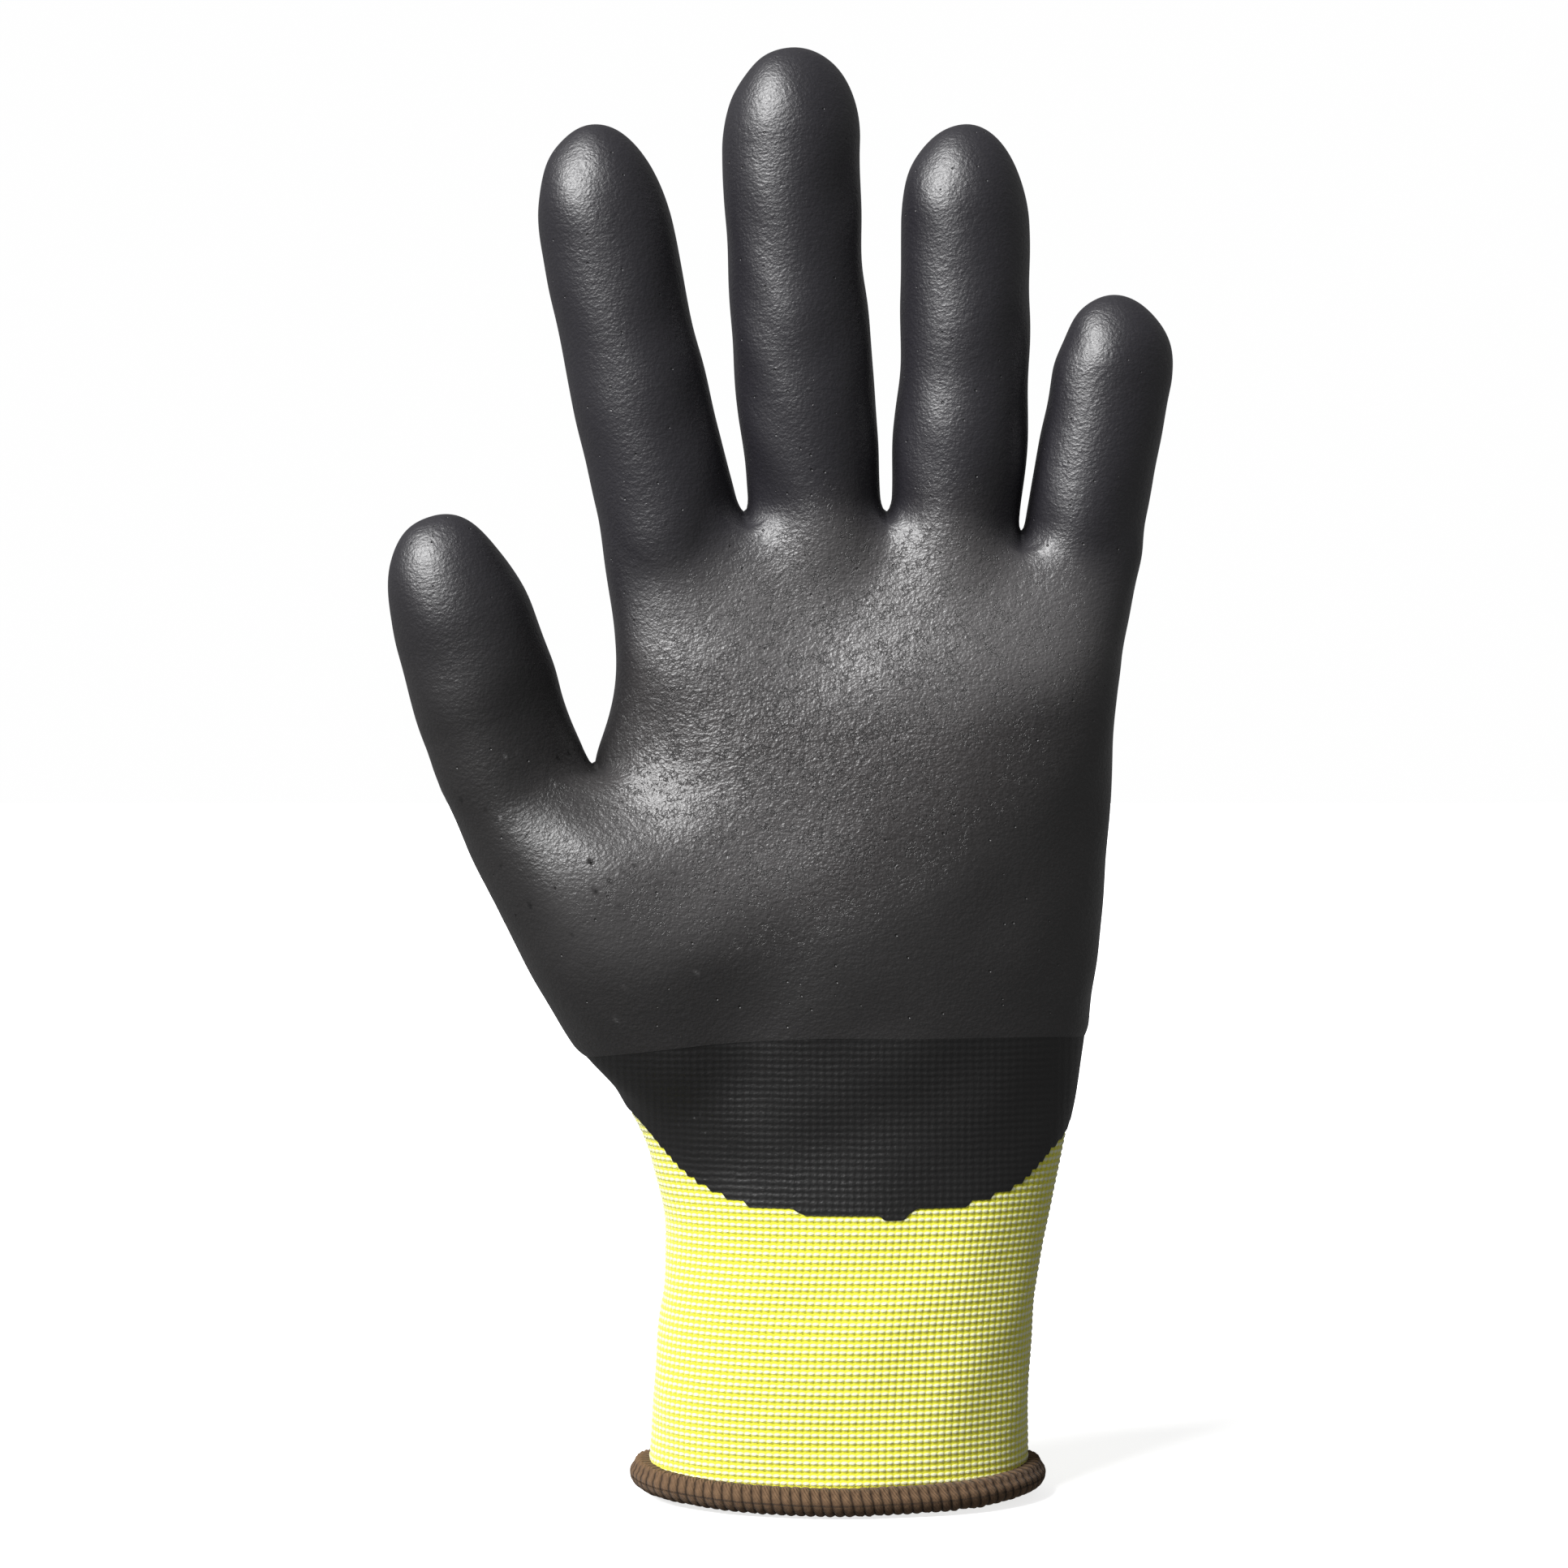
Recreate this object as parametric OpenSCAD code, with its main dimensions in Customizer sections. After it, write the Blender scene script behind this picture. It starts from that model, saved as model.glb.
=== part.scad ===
// Knitted work glove for a left hand: a knitted liner, a first dipped coat, a foam coat over it and an
// overlocked hem. It stands on the hem with the fingers up (+Z) and the palm towards -Y.
// The wall is cut where the glove folds: at the wrist, across the knuckles and in each finger.

/* [Wall] */
// Thickness of the knitted liner
knit = 0.9; // [0.6:0.1:1.2]
// Thickness of the first dipped coat
base_coat = 0.3; // [0.2:0.05:0.4]
// Thickness of the foam coat over it
foam_coat = 0.5; // [0.3:0.1:0.7]

/* [Hem and cuff] */
// Height of the overlocked hem
hem_height = 5.2; // [4:0.2:7]
// How far the hem stands out of the cuff
hem_swell = 3.0; // [2:0.2:3.4]
// Elastic threads laid in the cuff
elastic_count = 5; // [3:1:6]
// Thickness of an elastic thread
elastic_d = 0.7; // [0.5:0.1:0.9]

/* [Dip lines] */
// Height of the first dip's edge at the side seams
base_edge = 62.7; // [58:0.5:64]
// Rise of the first dip's edge from palm to back, per millimetre of depth
base_slope = 0.8; // [0.5:0.05:0.9]
// Height of the foam coat's lower edge
foam_edge = 79; // [74:0.5:86]

/* [Folds] */
// Height of the wrist fold
wrist_z = 47; // [45:1:49]
// Half the length of wall that bends at the wrist
wrist_reach = 20; // [18:1:20]
// Height of the fold across the knuckles
knuckle_z = 148; // [147:1:149]
// Half the length of wall that bends at the knuckles
knuckle_reach = 14; // [12:1:14]
// Length of wall that bends at the thumb's base
thumb_base_reach = 11; // [9:1:11]
// Clearance between pieces that move apart
gap = 0.3; // [0.2:0.1:0.4]

/* [Quality] */
// Sides of a round section
sides = 40; // [24:4:48]

/* [Hidden] */
bond = 0.04;                       // bond line between two layers
dips = base_coat + foam_coat;
// Each layer's outer and inner face, as depths below the glove's surface
FOAM = [0, foam_coat];
BASE = [foam_coat + bond, dips];
COAT = [0, dips];                  // both dips, where one covers the other
KNIT = [dips + bond, dips + bond + knit];
wrist_bottom = wrist_z - wrist_reach;
wrist_top = wrist_z + wrist_reach;
knuckle_bottom = knuckle_z - knuckle_reach;
knuckle_top = knuckle_z + knuckle_reach;
hem_seat = 1.6;                    // height at which the knit's edge sits in the hem
BIG = 400;
ROOT_OVERRUN = 5;                  // how far a stall's root runs on before it is cut level

// Wrist, palm and knuckles: height, left edge, right edge, half depth, middle of the depth
HAND = [
    [0, -22.8, 43.0, 19.2, 0],
    [27, -21.2, 43.7, 18.6, 0],
    [47, -19.4, 46.4, 18.0, 0],
    [57, -20.6, 48.7, 18.0, 0],
    [67, -26.6, 50.9, 18.0, 0],
    [80, -27.5, 53.5, 18.0, 0],
    [100, -29.0, 56.0, 17.4, 0],
    [120, -31.3, 57.5, 16.4, 0],
    [134, -29.6, 58.2, 15.4, 0],
    [148, -28.5, 59.6, 14.2, 0],
    [162, -29.8, 62.1, 12.2, 0]
];
HAND_Z = [for (row = HAND) row[0]];

// Ball of the thumb, from the wrist to the thumb's root: centre and radius of each swelling
THUMB_BALL = [
    [[-11.5, -1, 71], 14.6],
    [[-22, -3, 88], 16.8],
    [[-33.2, -4, 106], 16.2],
    [[-46.5, -4, 126], 12.9]
];

// Stalls: root and tip centres of the axis, radius at the root and at the tip, and the heights,
// along the axis from its root, of the two folds, each with half the length of wall that bends
INDEX = [[-17.9, 0, 162.5], [-31.0, 0, 225.2], 11.9, 11.1, [26, 9], [51.5, 8]];
MIDDLE = [[6.75, 0, 162.5], [2.4, 0, 238.5], 11.7, 11.5, [35.5, 9], [63.5, 8]];
RING = [[30.5, 0, 162.5], [32.4, 0, 225.2], 11.2, 11.0, [25.5, 9], [51, 8]];
LITTLE = [[52.1, 0, 162.5], [57.9, 0, 197.0], 10.0, 9.7, [12.5, 7.5], [28.3, 5.8]];
THUMB = [[-46.5, -4, 126], [-56.4, -6.5, 156.8], 12.9, 11.2, [0, 0], [18, 8]];
WEB = [-32, 0, 126];               // between thumb and palm
THUMB_FOLD_LEAN = 40;              // lean of the fold at the thumb's base

FINGERS = [["index", INDEX], ["middle", MIDDLE], ["ring", RING], ["little", LITTLE]];
FINGER_PIECES = ["root", "lower_joint", "middle", "upper_joint", "tip"];

KNIT_COLOR = [0.86, 0.89, 0.25];
BASE_COLOR = [0.10, 0.10, 0.11];
FOAM_COLOR = [0.20, 0.20, 0.21];
HEM_COLOR = [0.38, 0.29, 0.22];
ELASTIC_COLOR = [0.93, 0.93, 0.90];

// ---- forms shared by the layers ----

function column(k) = [for (row = HAND) [row[0], row[k]]];
function hand_value(z, k) = lookup(z, column(k));
// Roundness of the section: an ellipse has 2, and the knuckles are squarer
function squareness(z) = lookup(z, [[0, 2.3], [60, 2.4], [134, 2.9], [162, 3.2]]);

// Point of the hand's section at height z, angle a, pulled in by an inset
function hand_point(z, a, inset) =
    let (
        n = squareness(z),
        xl = hand_value(z, 1),
        xr = hand_value(z, 2),
        rx = (xr - xl) / 2 - inset,
        ry = hand_value(z, 3) - inset,
        c = cos(a),
        s = sin(a),
        k = pow(pow(abs(c), n) + pow(abs(s), n), -1 / n)
    )
    [(xl + xr) / 2 + rx * k * c, hand_value(z, 4) + ry * k * s, z];

// Heights at which a stretch of the hand needs a section
function stations(z0, z1) = concat([z0], [for (z = HAND_Z) if (z > z0 + 1 && z < z1 - 1) z], [z1]);

// Solid stack of sections
module hand_stack(inset, z0, z1) {
    zs = stations(z0, z1);
    m = sides;
    points = [for (z = zs, i = [0:m - 1]) hand_point(z, 360 * i / m, inset)];
    last = (len(zs) - 1) * m;
    faces = concat(
        [[for (i = [0:m - 1]) i]],
        [for (k = [0:len(zs) - 2], i = [0:m - 1])
            [k * m + i, (k + 1) * m + i, (k + 1) * m + (i + 1) % m, k * m + (i + 1) % m]],
        [[for (i = [m - 1:-1:0]) last + i]]
    );
    polyhedron(points, faces, convexity = 4);
}

// Closed tube of sections between two insets
module hand_tube(outer, inner, z0, z1) {
    zs = stations(z0, z1);
    m = sides;
    n = len(zs);
    points = concat(
        [for (z = zs, i = [0:m - 1]) hand_point(z, 360 * i / m, outer)],
        [for (z = zs, i = [0:m - 1]) hand_point(z, 360 * i / m, inner)]
    );
    skin = n * m;
    faces = concat(
        [for (k = [0:n - 2], i = [0:m - 1])
            [k * m + i, (k + 1) * m + i, (k + 1) * m + (i + 1) % m, k * m + (i + 1) % m]],
        [for (k = [0:n - 2], i = [0:m - 1])
            [skin + k * m + i, skin + k * m + (i + 1) % m,
             skin + (k + 1) * m + (i + 1) % m, skin + (k + 1) * m + i]],
        [for (i = [0:m - 1]) [i, (i + 1) % m, skin + (i + 1) % m, skin + i]],
        [for (i = [0:m - 1])
            [(n - 1) * m + i, skin + (n - 1) * m + i,
             skin + (n - 1) * m + (i + 1) % m, (n - 1) * m + (i + 1) % m]]
    );
    polyhedron(points, faces, convexity = 6);
}

// Ball of the thumb, swelling by swelling
module thumb_ball(inset) {
    for (k = [0:len(THUMB_BALL) - 2])
        hull() for (swelling = [THUMB_BALL[k], THUMB_BALL[k + 1]])
            translate(swelling[0]) sphere(r = swelling[1] - inset, $fn = 28);
    hull() for (f = [0, 0.45])
        translate(THUMB[0] + f * (THUMB[1] - THUMB[0]))
            sphere(r = THUMB[2] + f * (THUMB[3] - THUMB[2]) - inset, $fn = 28);
}

module hand_solid(inset) {
    hand_stack(inset, 55, 140);
    thumb_ball(inset);
}

// Everything on the thumb's side of its fold, d past the web
module thumb_side(d) {
    lean = THUMB_FOLD_LEAN;
    web = [WEB[0] - d * sin(lean), WEB[2] + d * cos(lean)];
    rotate([90, 0, 0]) linear_extrude(BIG, center = true) polygon([
        web,
        [web[0], BIG],
        [-BIG, BIG],
        web - BIG * [cos(lean), sin(lean)]
    ]);
}

// Everything past a distance along the thumb
module past_thumb(distance) {
    translate(THUMB[0]) rotate(stall_turn(THUMB)) translate([0, 0, distance])
        linear_extrude(BIG) square(BIG, center = true);
}

// One layer of the palm with the ball of the thumb, between two heights
module hand_layer(outer, inner, z0, z1) {
    difference() {
        hand_solid(outer);
        hand_solid(inner);
        translate([0, 0, z0 - BIG / 2]) cube(BIG, center = true);
        translate([0, 0, z1 + BIG / 2]) cube(BIG, center = true);
    }
}

// ---- stalls ----

function length3(v) = sqrt(v * v);
function stall_length(s) = length3(s[1] - s[0]);
function stall_radius(s, t) = s[2] + (s[3] - s[2]) * t / stall_length(s);
// Turn that lays Z along the stall's axis
function stall_turn(s) =
    let (d = (s[1] - s[0]) / stall_length(s))
    [0, acos(d[2]), atan2(d[1], d[0])];

// Tube of one layer of a stall, between two distances from its root
module stall_tube(s, t0, t1, outer, inner) {
    translate(s[0]) rotate(stall_turn(s)) translate([0, 0, t0]) difference() {
        cylinder(r1 = stall_radius(s, t0) - outer, r2 = stall_radius(s, t1) - outer, h = t1 - t0, $fn = 48);
        translate([0, 0, -1]) cylinder(
            r1 = stall_radius(s, t0 - 1) - inner,
            r2 = stall_radius(s, t1 + 1) - inner,
            h = t1 - t0 + 2,
            $fn = 48
        );
    }
}

// Closed end of a stall
module stall_end(s, t0, outer, inner) {
    tip = stall_length(s);
    translate(s[0]) rotate(stall_turn(s)) difference() {
        union() {
            translate([0, 0, t0])
                cylinder(r1 = stall_radius(s, t0) - outer, r2 = s[3] - outer, h = tip - t0, $fn = 48);
            translate([0, 0, tip]) sphere(r = s[3] - outer, $fn = 48);
        }
        translate([0, 0, t0 - 1])
            cylinder(r1 = stall_radius(s, t0 - 1) - inner, r2 = s[3] - inner, h = tip - t0 + 1, $fn = 48);
        translate([0, 0, tip]) sphere(r = s[3] - inner, $fn = 48);
        translate([0, 0, t0 - BIG]) cylinder(r = BIG, h = BIG, $fn = 48);
    }
}

function lower_fold(s) = [s[4][0] - s[4][1], s[4][0] + s[4][1]];
function upper_fold(s) = [s[5][0] - s[5][1], s[5][0] + s[5][1]];

// One piece of a finger in one layer
module finger_piece(s, piece, depths) {
    outer = depths[0];
    inner = depths[1];
    low = lower_fold(s);
    high = upper_fold(s);
    if (piece == "root") difference() {
        stall_tube(s, -ROOT_OVERRUN, low[0] - gap / 2, outer, inner);
        translate([s[0][0], 0, knuckle_top + gap / 2 - BIG / 2]) cube(BIG, center = true);
    }
    if (piece == "lower_joint") stall_tube(s, low[0] + gap / 2, low[1] - gap / 2, outer, inner);
    if (piece == "middle") stall_tube(s, low[1] + gap / 2, high[0] - gap / 2, outer, inner);
    if (piece == "upper_joint") stall_tube(s, high[0] + gap / 2, high[1] - gap / 2, outer, inner);
    if (piece == "tip") stall_end(s, high[1] + gap / 2, outer, inner);
}

// ---- cuff ----

module cuff_knit() {
    color(KNIT_COLOR) hand_tube(KNIT[0], KNIT[1], hem_seat + bond, wrist_bottom - gap / 2);
}

// Covered elastic threads, laid in on the inside of the cuff
module cuff_elastic() {
    spacing = (wrist_bottom - 2 * hem_height) / elastic_count;
    depth = KNIT[1] + bond;
    for (k = [0:elastic_count - 1]) {
        z = 1.5 * hem_height + k * spacing;
        color(ELASTIC_COLOR) hand_tube(depth, depth + elastic_d, z, z + elastic_d);
    }
}

// The overlock thread's roll: it closes round the knit's cut edge and stands on a flat underside
module hem_overlock() {
    h = hem_height;
    out = hem_swell;
    seat_out = -KNIT[0] + bond;
    seat_in = -KNIT[1] - bond;
    profile = [
        [seat_in - 0.7, 0], [out - 1.3, 0], [out - 0.4, 0.16 * h], [out, 0.48 * h], [out - 0.5, 0.8 * h],
        [out - 1.8, h], [seat_out, h], [seat_out, hem_seat], [seat_in, hem_seat],
        [seat_in, 0.85 * h], [seat_in - 0.8, 0.8 * h], [seat_in - 1.3, 0.5 * h], [seat_in - 1.2, 0.18 * h]
    ];
    m = sides;
    n = len(profile);
    points = [for (i = [0:m - 1], p = profile) hand_point(p[1], 360 * i / m, -p[0])];
    faces = [for (i = [0:m - 1], k = [0:n - 1])
        let (j = (i + 1) % m, l = (k + 1) % n) [i * n + k, i * n + l, j * n + l, j * n + k]];
    color(HEM_COLOR) polyhedron(points, faces, convexity = 6);
}

// ---- wrist ----

module wrist_knit() {
    color(KNIT_COLOR) hand_tube(KNIT[0], KNIT[1], wrist_bottom + gap / 2, wrist_top - gap / 2);
}

// Everything below the tilted edge of the first dip
module below_base_edge() {
    translate([0, 0, base_edge]) rotate([atan(base_slope), 0, 0])
        translate([0, 0, -BIG / 2]) cube(BIG, center = true);
}

module wrist_base_coat() {
    color(BASE_COLOR) difference() {
        hand_tube(BASE[0], BASE[1], wrist_bottom + gap / 2, wrist_top - gap / 2);
        below_base_edge();
    }
}

// ---- palm ----

module palm_layer(depths, z0) {
    difference() {
        hand_layer(depths[0], depths[1], z0, knuckle_bottom - gap / 2);
        thumb_side(-gap / 2);
    }
}

module palm_knit() {
    color(KNIT_COLOR) palm_layer(KNIT, wrist_top + gap / 2);
}

module palm_base_coat() {
    color(BASE_COLOR) difference() {
        palm_layer(BASE, wrist_top + gap / 2);
        below_base_edge();
    }
}

module palm_foam_coat() {
    color(FOAM_COLOR) palm_layer(FOAM, foam_edge);
}

// ---- knuckles ----

module knuckle_knit() {
    color(KNIT_COLOR) hand_tube(KNIT[0], KNIT[1], knuckle_bottom + gap / 2, knuckle_top - gap / 2);
}

module knuckle_coat() {
    color(FOAM_COLOR) hand_tube(COAT[0], COAT[1], knuckle_bottom + gap / 2, knuckle_top - gap / 2);
}

// ---- thumb ----

// The bending strip between the palm and the thumb
module thumb_base_layer(depths) {
    difference() {
        intersection() {
            hand_layer(depths[0], depths[1], foam_edge, BIG);
            thumb_side(gap / 2);
        }
        thumb_side(thumb_base_reach - gap / 2);
        past_thumb(upper_fold(THUMB)[0] - gap / 2);
    }
}

module thumb_root_layer(depths) {
    difference() {
        intersection() {
            hand_layer(depths[0], depths[1], foam_edge, BIG);
            thumb_side(thumb_base_reach + gap / 2);
        }
        past_thumb(upper_fold(THUMB)[0] - gap / 2);
    }
}

module thumb_base_knit() {
    color(KNIT_COLOR) thumb_base_layer(KNIT);
}

module thumb_base_coat() {
    color(FOAM_COLOR) thumb_base_layer(COAT);
}

module thumb_root_knit() {
    color(KNIT_COLOR) thumb_root_layer(KNIT);
}

module thumb_root_coat() {
    color(FOAM_COLOR) thumb_root_layer(COAT);
}

module thumb_joint_knit() {
    color(KNIT_COLOR) finger_piece(THUMB, "upper_joint", KNIT);
}

module thumb_joint_coat() {
    color(FOAM_COLOR) finger_piece(THUMB, "upper_joint", COAT);
}

module thumb_tip_knit() {
    color(KNIT_COLOR) finger_piece(THUMB, "tip", KNIT);
}

module thumb_tip_coat() {
    color(FOAM_COLOR) finger_piece(THUMB, "tip", COAT);
}

cuff_knit();
cuff_elastic();
hem_overlock();
wrist_knit();
wrist_base_coat();
palm_knit();
palm_base_coat();
palm_foam_coat();
knuckle_knit();
knuckle_coat();
thumb_base_knit();
thumb_base_coat();
thumb_root_knit();
thumb_root_coat();
thumb_joint_knit();
thumb_joint_coat();
thumb_tip_knit();
thumb_tip_coat();
for (f = FINGERS, piece = FINGER_PIECES) {
    color(KNIT_COLOR) finger_piece(f[1], piece, KNIT);
    color(FOAM_COLOR) finger_piece(f[1], piece, COAT);
}
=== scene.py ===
import math

import bmesh
import bpy
import numpy as np
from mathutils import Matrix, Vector


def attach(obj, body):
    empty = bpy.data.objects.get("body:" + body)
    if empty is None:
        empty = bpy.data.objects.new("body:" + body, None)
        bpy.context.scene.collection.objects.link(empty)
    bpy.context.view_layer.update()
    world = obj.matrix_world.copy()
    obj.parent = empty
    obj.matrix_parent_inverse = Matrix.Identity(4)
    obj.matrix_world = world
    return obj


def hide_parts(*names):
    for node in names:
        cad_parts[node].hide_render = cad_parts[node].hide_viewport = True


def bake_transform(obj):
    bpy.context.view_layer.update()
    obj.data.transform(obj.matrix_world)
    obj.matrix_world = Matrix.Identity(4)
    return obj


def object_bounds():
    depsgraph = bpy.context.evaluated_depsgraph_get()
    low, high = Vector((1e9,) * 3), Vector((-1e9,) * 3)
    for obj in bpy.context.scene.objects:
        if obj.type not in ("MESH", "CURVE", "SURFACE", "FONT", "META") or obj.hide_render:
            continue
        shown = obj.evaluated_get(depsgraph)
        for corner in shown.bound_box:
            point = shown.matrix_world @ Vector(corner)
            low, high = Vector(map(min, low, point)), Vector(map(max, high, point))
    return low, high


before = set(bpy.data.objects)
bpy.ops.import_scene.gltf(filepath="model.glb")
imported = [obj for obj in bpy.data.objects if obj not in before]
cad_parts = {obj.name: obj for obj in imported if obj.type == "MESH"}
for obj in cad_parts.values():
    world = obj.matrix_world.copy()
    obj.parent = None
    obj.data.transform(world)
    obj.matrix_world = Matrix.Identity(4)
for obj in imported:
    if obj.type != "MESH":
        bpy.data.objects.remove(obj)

bl_info = {
    "name": "Dipped work glove",
    "version": (1, 0, 0),
    "blender": (4, 5, 0),
    "location": "View3D > Sidebar > Glove",
    "description": "Dresses the glove's frame: knitted liner, two dipped coats and an overlocked hem",
    "category": "Object",
}

# ---------------------------------------------------------------------------------------------
# Sizes. The layout is in millimetres at the frame's own height, and MM turns it into metres.
# ---------------------------------------------------------------------------------------------

LOW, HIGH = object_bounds()
LAYOUT_HEIGHT = 250.0
MM = (HIGH[2] - LOW[2]) / LAYOUT_HEIGHT

# Section of the hand by height: left edge, right edge, half depth and squareness (2 is an ellipse)
LEFT_EDGE = [(0, -23.4), (14, -22.7), (27, -21.7), (37, -20.7), (47, -20.4), (54, -21.9), (60, -23.5),
             (67, -26.4), (74, -27.2), (80, -27.4), (100, -29.0), (120, -32.4), (127, -31.3), (134, -29.2),
             (142, -28.0), (148, -27.9), (156, -28.0), (162, -27.7), (170, -27.0)]
RIGHT_EDGE = [(0, 43.9), (27, 44.6), (38, 45.8), (47, 47.4), (58, 49.8), (66, 51.5), (81, 53.7), (98, 55.8),
              (120, 57.4), (134, 58.0), (148, 59.2), (156, 60.0), (162, 60.4), (170, 60.0)]
HALF_DEPTH = [(0, 20.2), (27, 19.7), (47, 17.6), (62, 17.0), (80, 18.7), (92, 19.8), (104, 19.8),
              (115, 19.1), (130, 17.5), (142, 15.6), (150, 13.2), (158, 10.8), (166, 9.2), (170, 8.8)]
SQUARENESS = [(0, 2.1), (60, 2.1), (84, 2.05), (112, 2.1), (134, 2.9), (150, 3.6), (170, 3.6)]
PALM_TOP = [(20, 167.2), (42, 163.0)]     # lower between ring and little finger
PALM_TOP_ROUNDING = 5.0
CROTCH_REACH, FINGER_REACH = 1.0, 5.2      # how softly stalls meet each other, and run into the palm
FORMS = [((3, -15, 147), (15, 12, 15), -2.8),
         ((18, -18, 96), (16, 12, 16), 0.6),
         ((-4.5, -12, 168), (7, 6, 8), -2.5),
         ((19, -12, 167), (6, 6, 8), -1.5),
         ((41.5, -11, 163), (6, 6, 7), -2.2)]
WEB_HOLLOW, WEB_REACH, WEB_DEPTH = (-31, 0, 127), (15, 30, 13), 6.5
WEB_FADE, BALL_FADE = (2, 18), (4, 13)     # both come in over this much of the depth, off the middle
THUMB_BLEND = [(50, 1.5), (58, 1.5), (80, 5.0), (98, 9.0), (114, 4.0), (124, 0.6), (134, 0.6)]
BALL_BLEND = [(60, 0), (75, 0), (95, 8), (110, 18), (124, 18), (140, 4), (150, 0), (160, 0)]

# Stalls: where the axis starts and the very tip, the two bends and their reach, how long the rounded end
# is, the radius by height, and how far the stall sways sideways off its straight axis by height
STALLS = {
    "index": dict(root=(-17.9, 0, 162.5), tip=(-33.25, 0, 236.0), bends=((26, 9), (51.5, 8)), dome=19.5,
                  radii=[(145, 8.0), (158, 11.4), (171, 12.1), (182, 11.95), (193, 11.8), (200, 11.45),
                         (210, 11.6), (216, 11.6)],
                  sway=[(150, 0), (171, 0.28), (182, -0.13), (193, -0.33), (205, -0.5), (216, -0.3),
                        (222, -0.3), (228, -0.15), (236, 0.2)]),
    "middle": dict(root=(6.75, 0, 162.5), tip=(1.75, 0, 249.8), bends=((35.5, 9), (63.5, 8)), dome=17,
                   radii=[(145, 7.8), (158, 10.9), (171, 11.4), (182, 11.75), (193, 12.1), (201, 12.0),
                          (212, 11.65), (222, 11.75), (233, 11.9)],
                   sway=[(150, 0), (171, 0.1), (182, -0.23), (199, -0.66), (216, -0.9), (227, -0.7),
                         (238, -0.15), (244, 0.15), (250, 0.9)]),
    "ring": dict(root=(30.5, 0, 162.5), tip=(32.73, 0, 236.1), bends=((25.5, 9), (51, 8)), dome=17,
                 radii=[(145, 7.6), (158, 10.6), (171, 11.2), (182, 11.6), (193, 11.1), (205, 11.15),
                        (219, 11.1)],
                 sway=[(150, 0), (171, 0), (182, 0.41), (193, 0.68), (207, 0.5), (221, 0), (230, -0.35),
                       (236, -0.3)]),
    "little": dict(root=(52.1, 0, 162.5), tip=(59.53, 0, 206.7), bends=((12.5, 7.5), (28.3, 5.8)), dome=14.8,
                   radii=[(140, 6.0), (154, 8.9), (163, 10.1), (171, 10.25), (182, 10.3), (191, 10.25)],
                   sway=[(150, 0), (168, 0), (182, 0.4), (193, 0.5), (199, 0.75), (204.6, 0.1), (207, -0.1)]),
}
THUMB = dict(root=(-46.5, -4, 126), tip=(-60.0, -7.4, 168.0), bends=((0, 0), (18, 8)), dome=21,
             radii=[(126, 12.8), (137, 12.6), (143, 12.3), (149, 12.15)],
             sway=[(126, 0.5), (131, 0.1), (137, 0.0), (143, 0.3), (149, 0.3), (155, 0.1), (160, 0.0),
                   (165, 0.1), (168, 0.5)])
# The ball of the thumb, by height: middle across, middle in depth, radius
BALL_ACROSS = [(60, -5.0), (71, -11.5), (88, -22.0), (106, -32.9), (119, -42.8), (126, -46.1), (134, -49.1)]
BALL_DEPTH = [(60, -1.0), (88, -3.0), (106, -4.0), (134, -4.7)]
BALL_RADIUS = [(60, 12.6), (71, 13.7), (88, 16.7), (106, 16.0), (119, 12.7), (126, 12.6), (134, 12.4)]
# Depth of a stall over its width, by the distance down from its tip
FLATNESS = [(-4, 0.80), (0, 0.80), (8, 0.85), (16, 0.91), (26, 0.95), (38, 0.99), (50, 0.99)]
ROOT_RUN = 17.0                    # how far a stall's axis runs down into the palm
THUMB_FOLD_LEAN = math.radians(40)
GAP_LEAN = 0.25                    # how the gap between thumb and index finger leans outwards

FOAM = 0.5                         # the second dip
WALL = 1.74                        # dips and liner together
KNIT_DEPTH = 0.84                  # the liner's face under the glove's surface
FOAM_EDGE = 79.0
FOAM_TAPER, FOAM_LIP = 2.5, 0.06   # the foam thins to a lip over this much of its edge
BASE_EDGE = 62.7
BASE_SLOPE = 0.72
BASE_SHIFT = (-0.6, 0.35)          # moves the plain edge before its steps, and the steps themselves
THUMB_RISE = (-9, 15, 6.0)         # the edge's rise at each side: from here, over this much, this high
LITTLE_RISE = (38, 9, 3.0)
BASE_WALL = 0.3
BASE_TAPER, BASE_THIN = 1.2, 0.24  # the first dip is this much thinner at its edge, over this much
BASE_LAP, BASE_LEAST = 0.8, 0.4    # how far it runs under the foam, and its least height
BASE_AROUND, BASE_ROWS = 900, 52
WRIST = (27.0, 67.0)               # where the wall bends at the wrist
HEM_MIDDLE, HEM_OUT, HEM_REACH = 2.5, 0.55, 2.55
HEM_LIFT = 1.15                    # the hem's sides stand this much higher than its middle
KNIT_WALL = 0.9
COURSE, WALE = 1.15, 1.25          # height and width of one knitted loop
LOOP_ROWS, LOOP_COLUMNS = 4, 4     # mesh of one loop
INNER_ROWS = 12                    # the knit's plain inner face has one row for this many
CUFF_COURSES = (3, 24, 40, 70)     # cuff from under the hem, bending from here, under the dip from here
TUCK = 2.0                         # how far the knit is drawn under the first dip
DRIP = (19.5, 2.1, 0.7)            # where, how wide either side, how many courses deep
STALL_STEP, STALL_AROUND, DOME_RINGS = 0.7, 96, 36
RING_RAYS, HEM_RAYS = 720, 1440    # rays that find the section's outline under knit and hem
NET_LOW, NET_HIGH = (-70, -25, 72), (70, 25, 196)
CUT_NEAR = 4                       # a cut reaches this far either side of its plane
STALLS_ABOVE = 160                 # what lies lower is palm, however near a stall's axis it is
CHAIN_AT, CHAIN_WIDTH = math.radians(62), math.radians(13)
GROOVE_AT, GROOVE_WIDTH = math.radians(33), math.radians(9)

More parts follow.
